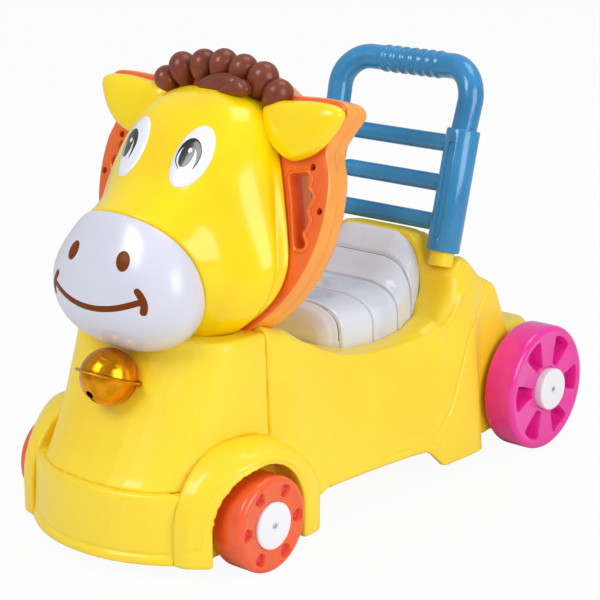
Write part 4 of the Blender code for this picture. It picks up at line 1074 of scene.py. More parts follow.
    def ear(self, side: Side) -> None:
        """Puffy ear with a soft rim and a domed front.

        Args:
            side: Side of the animal.
        """
        edge = smooth_loop(self.ear_edge, 4)
        middle = Vector(self.ear_middle)
        rows = []
        for scale, depth in self.ear_layers:
            row = []
            for x, s in edge:
                spot = middle + (Vector((x, s)) - middle) * scale
                row.append(DISC_PLANE @ Vector((side.value * spot.x, spot.y, depth)))
            rows.append(row)
        bm = bmesh.new()
        loft(bm, rows, None, DISC_PLANE @ Vector((side.value * middle.x, middle.y, self.ear_depth)))
        piece = self.shop.subdivide(self.shop.mesh_object(f"ear_skin_{side.word}", bm), 1)
        self.shop.dress(piece, HEAD_YELLOW, CHASSIS, "head_yellow_shell", [f"ear_{side.word}"])

    def mane(self) -> None:
        """Seven teardrop curls along the disc's top edge, drawn out to points behind the forehead."""
        bm = bmesh.new()
        for k, (x, s, wide, out_reach, in_reach) in enumerate(self.curls):
            away = (Vector((x, s)) - Vector(self.curl_root)).normalized()
            made = bmesh.ops.create_uvsphere(bm, u_segments=40, v_segments=28, radius=1.0)["verts"]
            for vert in made:
                u, v, w = vert.co
                # Narrow towards the root so that each curl is a teardrop
                narrow = 1.0 - self.curl_taper * max(0.0, -w) ** 2.2
                across, out = u * narrow * wide, v * narrow * self.curl_half
                reach = w * (out_reach if w > 0 else in_reach)
                spot = Vector((x, s)) + away * reach + Vector((away.y, -away.x)) * across
                ahead = self.curl_depth + self.curl_step * (k % 2) + out
                vert.co = DISC_PLANE @ Vector((spot.x, spot.y, ahead))
        piece = self.shop.mesh_object("mane_curls", bm, 60.0)
        self.shop.dress(piece, MANE_BROWN, CHASSIS, "brown_shell", ["mane"])

    def forelock(self) -> None:
        """Three overlapping locks swept to pointed tips above the forehead."""
        bm = bmesh.new()
        for outline, depth in self.locks:
            edge = smooth_loop(outline, 5)
            middle = sum((Vector(spot) for spot in outline), Vector((0.0, 0.0))) / len(outline)
            rows = []
            for scale, rise in self.lock_layers:
                row = []
                for spot in edge:
                    place = middle + (Vector(spot) - middle) * scale
                    row.append(DISC_PLANE @ Vector((place.x, place.y, depth + rise)))
                rows.append(row)
            loft(bm, rows, None, DISC_PLANE @ Vector((middle.x, middle.y, depth + self.lock_rise)))
        piece = self.shop.mesh_object("forelock_locks", bm, 60.0)
        self.shop.dress(piece, MANE_BROWN, CHASSIS, "brown_shell", ["forelock"])

    def build(self) -> None:
        """Make every piece of the head."""
        head = self.shop.tree(self.shell())
        muzzle = self.shop.tree(self.muzzle())
        for side in Side:
            self.eye(side, head)
            self.ear(side)
        self.mouth(muzzle)
        self.mane()
        self.forelock()


# Grip disc

@dataclass
class GripDisc:
    """Orange disc behind the head: two shells with a seam, grip holes with raised edges, and screws."""

    shop: Workshop
    radius: float = 0.1480
    centre_s: float = -0.0054
    top_radius: float = 0.1515
    top_s: float = -0.0360
    front_depth: float = 0.0150
    depth: float = 0.0320
    lobe_middle: tuple = (0.1100, 0.0700)
    lobe: tuple = ((0.1370, 0.0480), (0.1505, 0.0745), (0.1545, 0.0830), (0.1500, 0.0905),
                   (0.1400, 0.0935), (0.1180, 0.0940), (0.0950, 0.0930))
    grip: tuple = ((0.1011, 0.0192), (0.1110, 0.0222), (0.1213, 0.0235), (0.1240, 0.0181),
                   (0.1241, 0.0112), (0.1307, 0.0041), (0.1288, -0.0031), (0.1265, -0.0092),
                   (0.1308, -0.0178), (0.1300, -0.0248), (0.1266, -0.0311), (0.1315, -0.0396),
                   (0.1305, -0.0438), (0.1260, -0.0450), (0.1215, -0.0447), (0.1175, -0.0337),
                   (0.1110, -0.0115), (0.1049, 0.0062))
    # Raised bead round a grip hole: growth of the hole's edge, and height above the disc's face
    bead: tuple = ((0.0040, -0.004), (0.0040, 0.0006), (0.0034, 0.0016), (0.0020, 0.0022), (0.0006, 0.0016),
                   (-0.0010, -0.0020), (-0.0010, -0.004))
    screws: tuple = ((0.1407, -0.0085), (0.1245, 0.0300))
    # Radius and height of a screw's counterbore and of its head
    bore: tuple = ((0.0, -0.0100), (0.0033, -0.0100), (0.0033, -0.0004), (0.0040, 0.0004), (0.0040, 0.005),
                   (0.0, 0.005))
    screw_head: tuple = ((0.0, -0.0098), (0.0028, -0.0098), (0.0028, -0.0080), (0.0022, -0.0071),
                         (0.0, -0.0068))
    slot_half: tuple = (0.0015, 0.0003)
    slot_heights: tuple = (-0.0078, -0.006)
    # How near the outline a face of the rim band lies
    rim_band: float = 0.0045

    def outline(self, grow: float) -> list[tuple[float, float]]:
        """Edge of the disc with its two ear lobes.

        Args:
            grow: How far outside the edge it runs.

        Returns:
            Across and up of each point.
        """
        right = []
        for k in range(13):
            a = math.radians(-90.0 + 8.5 * k)
            reach = self.radius + grow
            right.append((reach * math.cos(a), self.centre_s + reach * math.sin(a)))
        middle = Vector(self.lobe_middle)
        for x, y in self.lobe:
            away = (Vector((x, y)) - middle).normalized() * grow
            right.append((x + away.x, y + away.y))
        for k in range(5):
            a = math.radians(59.0 + 31.0 * k / 4)
            reach = self.top_radius + grow
            right.append((reach * math.cos(a), self.top_s + reach * math.sin(a)))
        left = [(-x, y) for x, y in reversed(right[1:-1])]
        return smooth_loop(right + left, 4)

    def shell(self, name: str, layers: Pairs) -> bpy.types.Object:
        """Skin the disc's outline through layers of (height, growth).

        Args:
            name: Name of the piece.
            layers: Height and growth of each layer.

        Returns:
            The skin, still flat.
        """
        bm = bmesh.new()
        loft(bm, [[Vector((x, y, z)) for x, y in self.outline(grow)] for z, grow in layers])
        return self.shop.mesh_object(name, bm)

    def grip_edge(self, side: Side, grow: float) -> list[tuple[float, float]]:
        """Edge of a grip hole: straight towards the head, waved for the fingers on the outside.

        Args:
            side: Side of the animal.
            grow: How far outside the edge it runs.

        Returns:
            Across and up of each point.
        """
        fine = smooth_loop(self.grip, 4)
        total = len(fine)
        points = []
        for k, (x, y) in enumerate(fine):
            run = Vector(fine[(k + 1) % total]) - Vector(fine[k - 1])
            out = Vector((-run.y, run.x)).normalized()
            points.append((side.value * (x + out.x * grow), y + out.y * grow))
        return points if side is Side.RIGHT else list(reversed(points))

    def build(self) -> None:
        """Make both shells, the grips and the screws."""
        seam, back = -self.front_depth, -self.depth
        front = self.shell("disc_front_skin", ((seam, -0.0006), (seam + 0.0006, 0.0), (-0.0060, 0.0),
                                               (-0.0030, -0.0004), (-0.0012, -0.0014), (-0.0003, -0.0028),
                                               (0.0, -0.0045)))
        rear = self.shell("disc_rear_skin", ((back, -0.0060), (back + 0.0008, -0.0032),
                                             (back + 0.0030, -0.0012), (back + 0.0070, 0.0),
                                             (seam - 0.0012, 0.0), (seam - 0.0003, -0.0008)))
        dish = self.shell("dish", ((back - 0.01, -0.0180), (back + 0.0050, -0.0200)))
        self.shop.cut(rear, dish)
        for side in Side:
            self.shop.cut(front, self.bead_ring(side), union=True)
            for piece in (front, rear):
                hole = slab(self.grip_edge(side, 0.0), -0.05, 0.02)
                self.shop.cut(piece, self.shop.mesh_object("hole", hole))
            for x, s in self.screws:
                bm = bmesh.new()
                spun(bm, self.bore, 28)
                moved(bm, Matrix.Translation((side.value * x, s, 0.0)))
                self.shop.cut(front, self.shop.mesh_object("bore", bm))
        for piece, finish, slot, node in ((front, DISC_ORANGE, "orange_shell", "disc_front_shell"),
                                          (rear, RIM_ORANGE, "light_orange_shell", "disc_rear_shell")):
            self.shop.dress(piece, finish, CHASSIS, slot, [node])
            # Upright faces near the outline, on both shells, get the lighter orange
            piece.data.materials.append(self.shop.material(RIM_ORANGE))
            edge = [Vector(spot) for spot in self.outline(0.0)]
            for face in piece.data.polygons:
                spot = Vector(face.center[:2])
                upright = abs(face.normal.z) < 0.5
                if upright and min((spot - other).length for other in edge) < self.rim_band:
                    face.material_index = 1
            piece.data.transform(DISC_PLANE)
        for side in Side:
            for (x, s), level in zip(self.screws, ("lower", "upper")):
                self.screw(side, x, s, level)

    def bead_ring(self, side: Side) -> bpy.types.Object:
        """Raised bead round a grip hole.

        Args:
            side: Side of the animal.

        Returns:
            The bead, still flat.
        """
        bm = bmesh.new()
        rows = []
        for grow, z in self.bead:
            rows.append([Vector((x, y, z)) for x, y in self.grip_edge(side, grow)])
        loft(bm, rows, closed=True)
        return self.shop.mesh_object("rim", bm)

    def screw(self, side: Side, x: float, s: float, level: str) -> None:
        """Screw head with a cross recess at the bottom of its bore.

        Args:
            side: Side of the animal.
            x: Across of the screw.
            s: Up of the screw.
            level: Word for its height in the names.
        """
        bm = bmesh.new()
        spun(bm, self.screw_head, 24)
        piece = self.shop.mesh_object(f"screw_head_{level}_{side.word}", bm)
        long, thin = self.slot_half
        for turn in (0.0, math.pi / 2):
            bar = slab(((-long, -thin), (long, -thin), (long, thin), (-long, thin)), *self.slot_heights)
            moved(bar, Matrix.Rotation(turn, 4, "Z"))
            self.shop.cut(piece, self.shop.mesh_object("bar", bar))
        piece.data.transform(DISC_PLANE @ Matrix.Translation((side.value * x, s, 0.0)))
        self.shop.dress(piece, STEEL, CHASSIS, "steel", [f"disc_screw_{level}_{side.word}"])


# Seat

@dataclass
class Saddle:
    """White gloss seat, crowned and rising at the back, with four cross grooves over its sides."""

    shop: Workshop
    floor: float = 0.1502
    front: float = -0.0250
    rear: float = 0.1270
    # Half width and height of the top along the seat
    halves: tuple = ((-0.0250, 0.0480), (-0.0200, 0.0600), (-0.0080, 0.0700), (0.0300, 0.0745),
                     (0.0700, 0.0730), (0.1000, 0.0685), (0.1150, 0.0670), (0.1270, 0.0640))
    tops: tuple = ((-0.0250, 0.1750), (-0.0210, 0.1900), (-0.0110, 0.1975), (0.0500, 0.1975),
                   (0.0700, 0.1985), (0.0880, 0.2070), (0.1050, 0.2240), (0.1170, 0.2400),
                   (0.1230, 0.2470), (0.1270, 0.2440))
    grooves: tuple = (-0.0110, 0.0343, 0.0773, 0.1053)
    # A groove across: distance from its middle, and how deep it is there
    groove_steps: tuple = ((-0.0018, 0.0), (-0.0011, 0.0004), (-0.0008, 0.0030), (0.0008, 0.0030),
                           (0.0011, 0.0004), (0.0018, 0.0))
    groove_clear: float = 0.0026
    groove_floor: float = 0.0009
    station_gap: float = 0.0030
    straight_foot: float = 0.012
    exponent: float = 3.2
    steps: int = 32

    def section(self, y: float, inset: float) -> list[Vector]:
        """Outline of the seat at one station, drawn in by a groove's depth.

        Args:
            y: Place of the station.
            inset: How far it is drawn in.

        Returns:
            Points from one foot over the top to the other.
        """
        half = along(self.halves, y) - inset
        top = straight(self.tops, y) - inset
        foot = self.floor + self.straight_foot
        rise = top - self.floor - self.straight_foot
        points = [Vector((half, y, self.floor))]
        for k in range(self.steps + 1):
            a = math.pi * k / self.steps
            crown = min(1.0, 1.03 * power(math.sin(a), 2 / self.exponent))
            points.append(Vector((half * power(math.cos(a), 2 / self.exponent), y, foot + rise * crown)))
        points.append(Vector((-half, y, self.floor)))
        return points

    def build(self) -> None:
        """Skin the seat through its stations and grooves."""
        stations = [(self.front + 0.0004, 0.0)]
        y = self.front + 0.0012
        while y < self.rear - 0.0008:
            if min(abs(y - g) for g in self.grooves) > self.groove_clear:
                stations.append((y, 0.0))
            y += self.station_gap
        for g in self.grooves:
            stations += [(g + across, inset) for across, inset in self.groove_steps]
        stations.append((self.rear - 0.0004, 0.0))
        stations.sort()
        bm = bmesh.new()
        loft(bm, [self.section(y, inset) for y, inset in stations])
        piece = self.shop.mesh_object("seat_skin", bm, 50.0)
        self.shop.soften(piece, 0.0025, 3, 55.0)
        self.shop.settle(piece, 50.0)
        self.shop.dress(piece, SEAT_GLOSS, CHASSIS, "white_shell", ["seat"])
        # Painted shade on the floors of the grooves, down to a little above the seat's foot
        piece.data.materials.append(self.shop.material(GROOVE_SHADE_GREY))
        for face in piece.data.polygons:
            off = min(abs(face.center.y - g) for g in self.grooves)
            if off < self.groove_floor and face.center.z > self.floor + self.straight_foot:
                face.material_index = 1


# Push frame

@dataclass
class PushFrame:
    """Blue sleeves, rungs and the U-shaped push handle, drawn in the leaning frame."""

    shop: Workshop
    spread: float = 0.0850
    sleeve_length: float = 0.1280
    sleeve_r: float = 0.0175
    tube_r: float = 0.0133
    bore_gap: float = 0.0003
    rise: float = 0.0640
    corner: float = 0.0340
    # How far the handle's legs stand out above the sleeves
    splay: float = 0.0020
    # Long recess in a sleeve's front: half width, depth, and how far its ends lie from the sleeve's ends
    recess_half: float = 0.0048
    recess_depth: float = 0.0021
    recess_ends: tuple = (0.0190, 0.0170)
    rung_heights: tuple = (0.0290, 0.0700, 0.1120)
    rung_half: tuple = (0.0068, 0.0092)
    # How far rungs and handle are bowed back, and where and how much a rung is necked
    bow: float = 0.0100
    neck_at: float = 0.755
    neck_share: float = 0.32
    neck_sharpness: float = 60
    # Ribbed grip in the middle of the handle
    grip_half: float = 0.0405
    ribs: int = 7
    rib_rise: float = 0.0014

    def sleeve(self, side: Side) -> None:
        """Sleeve tube with a long recess in its front.

        Args:
            side: Side of the animal.
        """
        length, r, bore = self.sleeve_length, self.sleeve_r, self.tube_r + self.bore_gap
        bm = bmesh.new()
        spun(bm, ((r - 0.0018, 0.0), (r - 0.0006, 0.0005), (r, 0.0018), (r, length - 0.0020),
                  (r - 0.0006, length - 0.0006), (r - 0.0018, length), (bore, length), (bore, 0.0)),
             64, closed=True)
        piece = self.shop.mesh_object(f"sleeve_skin_{side.word}", bm)
        edge = []
        upper, lower = self.recess_ends
        for centre, start in ((length - upper, 0.0), (lower, math.pi)):
            for k in range(13):
                a = start + math.pi * k / 12
                edge.append((self.recess_half * math.cos(a), centre + self.recess_half * math.sin(a)))
        tool = slab(edge, r - self.recess_depth, 0.03)
        moved(tool, Matrix.Rotation(math.pi / 2, 4, "X"))
        self.shop.cut(piece, self.shop.mesh_object("stadium", tool))
        self.shop.soften(piece, 0.0006, 2, 50.0)
        self.shop.settle(piece)
        piece.data.transform(HANDLE_PLANE @ Matrix.Translation((side.value * self.spread, 0, 0)))
        self.shop.dress(piece, TUBE_BLUE, CHASSIS, "blue_tube", [f"handle_sleeve_{side.word}"])

    def rung(self, word: str, height: float) -> None:
        """Oval rung, bowed back and necked at its ends.

        Args:
            word: Word for the rung in the names.
            height: Its height in the leaning frame.
        """
        reach = self.spread - 0.0120
        steps = 48
        rows = []
        for k in range(steps + 1):
            x = -reach + 2 * reach * k / steps
            t = abs(x) / self.spread
            narrow = 1.0 - self.neck_share * (1 / (1 + math.exp(-(t - self.neck_at) * self.neck_sharpness)))
            bow = self.bow * (1 - t * t)
            deep, tall = (half * narrow for half in self.rung_half)
            row = []
            for i in range(28):
                a = math.tau * i / 28
                row.append(HANDLE_PLANE @ Vector((x, bow + deep * math.cos(a), height + tall * math.sin(a))))
            rows.append(row)
        bm = bmesh.new()
        loft(bm, rows)
        piece = self.shop.mesh_object(f"rung_skin_{word}", bm)
        core_r = self.sleeve_r + 0.0001
        for side in Side:
            core = bmesh.new()
            spun(core, ((0.0, height - 0.05), (core_r, height - 0.05), (core_r, height + 0.05),
                        (0.0, height + 0.05)), 64)
            moved(core, HANDLE_PLANE @ Matrix.Translation((side.value * self.spread, 0, 0)))
            self.shop.cut(piece, self.shop.mesh_object("core", core))
        self.shop.dress(piece, TUBE_BLUE, CHASSIS, "blue_tube", [f"rung_{word}"])

    def handle(self) -> None:
        """U-shaped tube whose middle swells into a ribbed grip."""
        top = self.sleeve_length + self.rise
        outer = self.spread + self.splay
        half = [(self.spread, self.sleeve_length - 0.0600), (self.spread, self.sleeve_length - 0.0020),
                (self.spread + self.splay / 2, self.sleeve_length + 0.0120), (outer, top - self.corner)]
        for k in range(1, 15):
            a = math.pi / 2 * k / 14
            half.append((outer - self.corner * (1 - math.cos(a)), top - self.corner * (1 - math.sin(a))))
        middle = [(0.0440 - 0.0880 * k / 220, top) for k in range(221)]
        path = half + middle + [(-x, z) for x, z in reversed(half)]
        across = Vector((0.0, 1.0, 0.0))
        rows = []
        for k, (x, z) in enumerate(path):
            before, after = path[max(k - 1, 0)], path[min(k + 1, len(path) - 1)]
            run = Vector((after[0] - before[0], 0.0, after[1] - before[1])).normalized()
            other = run.cross(across)
            radius = self.tube_r
            if abs(x) < self.grip_half and z >= top - 1e-6:
                phase = (x / self.grip_half + 1) / 2 * self.ribs
                radius = self.tube_r + self.rib_rise * math.sin(math.pi * phase) ** 2
            bow = self.bow * max(0.0, 1 - (x / self.spread) ** 2) if z > self.sleeve_length else 0.0
            row = []
            for i in range(32):
                a = math.tau * i / 32
                spot = Vector((x, bow, z)) + across * (radius * math.cos(a)) + other * (radius * math.sin(a))
                row.append(HANDLE_PLANE @ spot)
            rows.append(row)
        bm = bmesh.new()
        loft(bm, rows)
        piece = self.shop.mesh_object("handle_skin", bm, 60.0)
        self.shop.dress(piece, TUBE_BLUE, CHASSIS, "blue_tube", ["push_handle"])

    def build(self) -> None:
        """Make the sleeves, rungs and handle."""
        for side in Side:
            self.sleeve(side)
        for word, height in zip(("lower", "middle", "upper"), self.rung_heights):
            self.rung(word, height)
        self.handle()


# Bell

@dataclass
class Bell:
    """Gold bell under the muzzle: two half shells with a band between them, a hole and a slot below."""

    shop: Workshop
    centre: Vector = field(default_factory=lambda: Vector((0.0, -0.2641, 0.1730)))
    radius: float = 0.0270
    band_r: float = 0.0318
    wall: float = 0.0016
    edge_gap: float = 0.0017
    lean: float = math.radians(21.4)
    # Round hole in the lower half, turned from straight up, and the slot across the bottom
    hole_r: float = 0.0042
    hole_turn: float = math.radians(137.4)
    slot_half: tuple = (0.0013, 0.0170)
    # Rounded edge of the band: how far in from its rim, and half its height there
    band_edge: tuple = ((0.0012, 0.0014), (0.0003, 0.0008))

    def half(self, sign: int) -> bmesh.types.BMesh:
        """Hollow half shell, open towards the band.

        Args:
            sign: 1 for the upper half, -1 for the lower.

        Returns:
            The half's mesh.
        """
        r, low = self.radius, self.edge_gap
        outer, inner = [], []
        for k in range(15):
            a = math.pi / 2 * k / 14
            outer.append((r * math.cos(a), sign * max(r * math.sin(a), low)))
            inner.append(((r - self.wall) * math.cos(a), sign * max((r - self.wall) * math.sin(a), low)))
        bm = bmesh.new()
        spun(bm, outer[::-1] + inner, 56)
        return bm

    def build(self) -> None:
        """Make both halves, the hole and the slot in the lower one, and the band."""
        frame = Matrix.Translation(self.centre) @ Matrix.Rotation(-self.lean, 4, "X")
        for word, sign in (("upper", 1), ("lower", -1)):
            piece = self.shop.mesh_object(f"bell_half_{word}", self.half(sign), 50.0)
            if sign < 0:
                hole = bmesh.new()
                spun(hole, ((0.0, 0.012), (self.hole_r, 0.012), (self.hole_r, 0.040), (0.0, 0.040)), 32)
                moved(hole, Matrix.Rotation(self.hole_turn, 4, "X"))
                self.shop.cut(piece, self.shop.mesh_object("hole", hole))
                thin, long = self.slot_half
                slot = slab(((-thin, -long), (thin, -long), (thin, long), (-thin, long)), -0.04, -0.012)
                self.shop.cut(piece, self.shop.mesh_object("slot", slot))
            piece.data.transform(frame)
            self.shop.dress(piece, BELL_GOLD, CHASSIS, "gold_plate", [f"bell_{word}"])
        bm = bmesh.new()
        r, inside = self.band_r, self.radius * 0.90
        (deep, half), (slight, slim) = self.band_edge
        spun(bm, ((inside, -half), (r - deep, -half), (r - slight, -slim), (r, 0.0), (r - slight, slim),
                  (r - deep, half), (inside, half)), 64, closed=True)
        moved(bm, frame)
        band = self.shop.mesh_object("bell_band_ring", bm)
        self.shop.dress(band, BELL_GOLD, CHASSIS, "gold_plate", ["bell_band"])


# Wheels

@dataclass
class Wheel:
    """A moulded wheel with its hub cap, turning on the fixed axle."""

    shop: Workshop
    where: str
    side: Side
    axle: tuple
    outer_x: float
    radius: float
    width: float
    cap_rise: float
    finish: Finish
    pocket_finish: Finish
    slot: str
    # Inner and outer radius of a pocket, and half its spread at each
    pocket: tuple
    pocket_depth: float
    pockets: int = 6
    bore_r: float = 0.00406
    cap_r: float = 0.0228
    cap_edge: float = 0.0022
    shoulder: float = 0.0062
    back_depth: float = 0.0080

    def body(self) -> str:
        """Name of the turning body."""
        return f"{self.where}_wheel_{self.side.word}_body"

    def place(self) -> Matrix:
        """Matrix that turns a form made round Z onto the wheel's place."""
        centre = Vector(self.axle) + Vector((self.side.value * (self.outer_x - self.width / 2), 0, 0))
        return Matrix.Translation(centre) @ Matrix.Rotation(self.side.value * math.pi / 2, 4, "Y")

    def pocket_edge(self, k: int, grow: float) -> list[tuple[float, float]]:
        """Rounded outline of one recess.

        Args:
            k: Number of the recess.
            grow: How far outside the edge it runs.

        Returns:
            The outline's points in the wheel's plane.
        """
        inner, outer, spread_in, spread_out = self.pocket
        corners = ((inner, 0.75 * spread_in), (inner + 0.0020, spread_in), (outer - 0.0040, spread_out),
                   (outer - 0.0006, 0.82 * spread_out), (outer + 0.0002, 0.0))
        loop = [(r, -s) for r, s in corners] + [(r, s) for r, s in reversed(corners[:-1])]
        centre = Vector(((inner + outer) / 2, 0.0))
        points = []
        angle = math.tau * (k + 0.5) / self.pockets
        for r, s in smooth_loop(loop, 4):
            spot = Vector((r, s))
            spot += (spot - centre).normalized() * grow
            turn = angle + spot.y / spot.x
            points.append((spot.x * math.cos(turn), spot.x * math.sin(turn)))
        return points

    def profile(self) -> list[tuple[float, float]]:
        """Half section of the wheel: hub, hollow back, tread with round shoulders and face.

        Returns:
            Radius and height of each point.
        """
        half, r, shoulder = self.width / 2, self.radius, self.shoulder
        hollow = -half + self.back_depth
        points = [(self.bore_r, -half + 0.0040), (r * 0.34, -half + 0.0040), (r * 0.38, hollow),
                  (r - shoulder - 0.0034, hollow), (r - shoulder - 0.0018, -half + 0.0006)]
        for k in range(9):
            a = math.pi / 2 * k / 8
            points.append((r - shoulder + shoulder * math.sin(a), -half + shoulder - shoulder * math.cos(a)))
        for k in range(9):
            a = math.pi / 2 * k / 8
            points.append((r - shoulder + shoulder * math.cos(a), half - shoulder + shoulder * math.sin(a)))
        points += [(r - shoulder - 0.0012, half - 0.0004), (r - shoulder - 0.0026, half - 0.0008),
                   (self.cap_r + 0.0016, half - 0.0008), (self.cap_r + 0.0004, half - 0.0012),
                   (self.cap_r + 0.0003, half - 0.0030), (self.bore_r, half - 0.0030)]
        return points

    def recess(self, k: int, layers: Pairs) -> bmesh.types.BMesh:
        """Solid on one recess's outline through layers of (height, growth).

        Args:
            k: Number of the recess.
            layers: Height and growth of each layer.

        Returns:
            The solid's mesh.
        """
        bm = bmesh.new()
        loft(bm, [[Vector((x, y, z)) for x, y in self.pocket_edge(k, grow)] for z, grow in layers])
        return bm

    def build(self) -> None:
        """Make the wheel, its pocket floors with darker pads of painted shade, and its cap."""
        name = f"{self.where}_wheel_{self.side.word}"
        half = self.width / 2
        deep = half - self.pocket_depth
        bm = bmesh.new()
        spun(bm, self.profile(), 96, closed=True)
        piece = self.shop.mesh_object(f"{name}_skin", bm)
        for k in range(self.pockets):
            tool = self.recess(k, ((deep, -0.0010), (deep + 0.0012, -0.0004), (half - 0.0022, 0.0),
                                   (half - 0.0008, 0.0010), (half + 0.01, 0.0012)))
            self.shop.cut(piece, self.shop.mesh_object("pocket", tool))
        piece.data.transform(self.place())
        self.shop.dress(piece, self.finish, self.body(), self.slot, [name])
        # Pads a little above each pocket's floor, darker than the wheel: painted shade in the recesses
        low = deep + 0.0001
        for k in range(self.pockets):
            floor = self.recess(k, ((low, -0.0016), (low + 0.0006, -0.0014), (low + 0.0010, -0.0022)))
            moved(floor, self.place())
            pad = self.shop.mesh_object(f"{name}_pocket_{k + 1}", floor)
            self.shop.dress(pad, self.pocket_finish, self.body(), self.slot)
        self.cap(name.replace("_wheel_", "_hub_cap_"))

    def cap(self, node: str) -> None:
        """Domed hub cap with a rounded edge and a dimple.

        Args:
            node: Solid that it stands for.
        """
        base, top, r = self.width / 2 - 0.0026, self.width / 2 + self.cap_rise, self.cap_r
        bend = self.cap_edge
        edge = [(0.0, base + 0.0018), (0.0060, base + 0.0018), (0.0064, base), (r - 0.0002, base),
                (r, base + 0.0006), (r, top - bend)]
        for k in range(1, 7):
            a = math.pi / 2 * k / 6
            edge.append((r - bend * (1 - math.cos(a)), top - bend * (1 - math.sin(a))))
        edge += [(r * 0.5, top + 0.0002), (0.0046, top + 0.0003), (0.0040, top - 0.0002),
                 (0.0036, top - 0.0012), (0.0, top - 0.0014)]
        bm = bmesh.new()
        spun(bm, edge, 64)
        moved(bm, self.place())
        cap = self.shop.mesh_object(f"{node}_skin", bm)
        self.shop.dress(cap, SEAT_WHITE, self.body(), "white_shell", [node])
        bm = bmesh.new()
        spun(bm, ((0.0, top - 0.0013), (0.0022, top - 0.0013), (0.0022, top - 0.0004),
                  (0.0014, top + 0.0002), (0.0, top + 0.0003)), 28)
        moved(bm, self.place())
        self.shop.dress(self.shop.mesh_object(f"{node}_pin", bm), STEEL, self.body(), "steel")


# Yellow shells

def within(bm: bmesh.types.BMesh, low: Sequence[float], high: Sequence[float]) -> list:
    """Vertices inside a box."""
    return [vert for vert in bm.verts if low[0] < vert.co[0] < high[0] and low[1] < vert.co[1] < high[1]
            and low[2] < vert.co[2] < high[2]]


@dataclass(frozen=True)
class Crease:
    """A moulded line on both sides of a shell: a bead where it rises, a groove where it sinks."""

    node: str
    width: float
    rise: float
    path: tuple
    # Widths from the line at which the press ends, the skin is refined, and the line's ends fade
    reach_share: float = 3.2
    fine_share: float = 2.6
    fade_share: float = 3.0

    def press(self, bm: bmesh.types.BMesh) -> None:
        """Refine a skin along the line and move it in or out there.

        Args:
            bm: The skin.
        """
        for side in Side:
            line = [(side.value * x, y, z) for x, y, z in self.path]
            fine = smooth_loop(line, 24, closed=False)
            tree = KDTree(len(fine))
            for k, spot in enumerate(fine):
                tree.insert(spot, k)
            tree.balance()
            ends = (Vector(fine[0]), Vector(fine[-1]))
            reach = self.reach_share * self.width
            low = [min(spot[i] for spot in fine) - reach for i in range(3)]
            high = [max(spot[i] for spot in fine) + reach for i in range(3)]
            near = {vert for vert in within(bm, low, high)
                    if tree.find(vert.co)[2] < self.fine_share * self.width}
            edges = [edge for edge in bm.edges if edge.verts[0] in near and edge.verts[1] in near]
            bmesh.ops.subdivide_edges(bm, edges=edges, cuts=1, use_grid_fill=True)
            bm.normal_update()
            moves = []
            for vert in within(bm, low, high):
                gap = tree.find(vert.co)[2]
                if gap < reach:
                    fade = min((vert.co - end).length for end in ends) / (self.fade_share * self.width)
                    lift = self.rise * min(1.0, fade) * math.exp(-(gap / self.width) ** 2)
                    moves.append((vert, vert.normal * lift))
            for vert, move in moves:
                vert.co += move


# Lines of the left side, traced along the shells as the photograph shows them
RIM_LINE = ((0.0938, -0.1000, 0.1880), (0.0943, -0.0805, 0.1757), (0.0942, -0.0481, 0.1618),
            (0.0950, -0.0104, 0.1531), (0.0962, 0.0309, 0.1494), (0.0982, 0.0723, 0.1498),
            (0.1011, 0.1046, 0.1535), (0.1084, 0.1191, 0.1661), (0.1108, 0.1307, 0.1833),
            (0.1085, 0.1459, 0.1971))
HAUNCH_LINE = ((0.1024, 0.1864, 0.1898), (0.1052, 0.1830, 0.1772), (0.1076, 0.1684, 0.1606),
               (0.1150, 0.1448, 0.1424), (0.1177, 0.1272, 0.1085), (0.1183, 0.1121, 0.0752),
               (0.1191, 0.0951, 0.0579), (0.1205, 0.0792, 0.0449))
FENDER_LINE = ((0.1060, -0.2766, 0.0306), (0.1140, -0.2722, 0.0331), (0.1186, -0.2684, 0.0356),
               (0.1192, -0.2671, 0.0546), (0.1216, -0.2584, 0.0778), (0.1266, -0.2460, 0.0906),
               (0.1340, -0.2282, 0.1001), (0.1390, -0.2130, 0.1040), (0.1400, -0.1930, 0.1030),
               (0.1400, -0.1740, 0.0960), (0.1400, -0.1580, 0.0830), (0.1400, -0.1490, 0.0680))
FOOT_LINE = ((0.0, -0.3086, 0.0232), (0.0192, -0.3075, 0.0236), (0.0395, -0.3037, 0.0243),
             (0.0572, -0.2978, 0.0244), (0.0730, -0.2903, 0.0246), (0.0828, -0.2844, 0.0249),
             (0.0907, -0.2790, 0.0265))
CREASES = (Crease("body_shell", 0.0034, 0.0018, RIM_LINE), Crease("body_shell", 0.0020, -0.0015, HAUNCH_LINE),
           Crease("body_shell", 0.0016, -0.0011, FENDER_LINE),
           Crease("bumper_shell", 0.0016, -0.0011, FOOT_LINE))


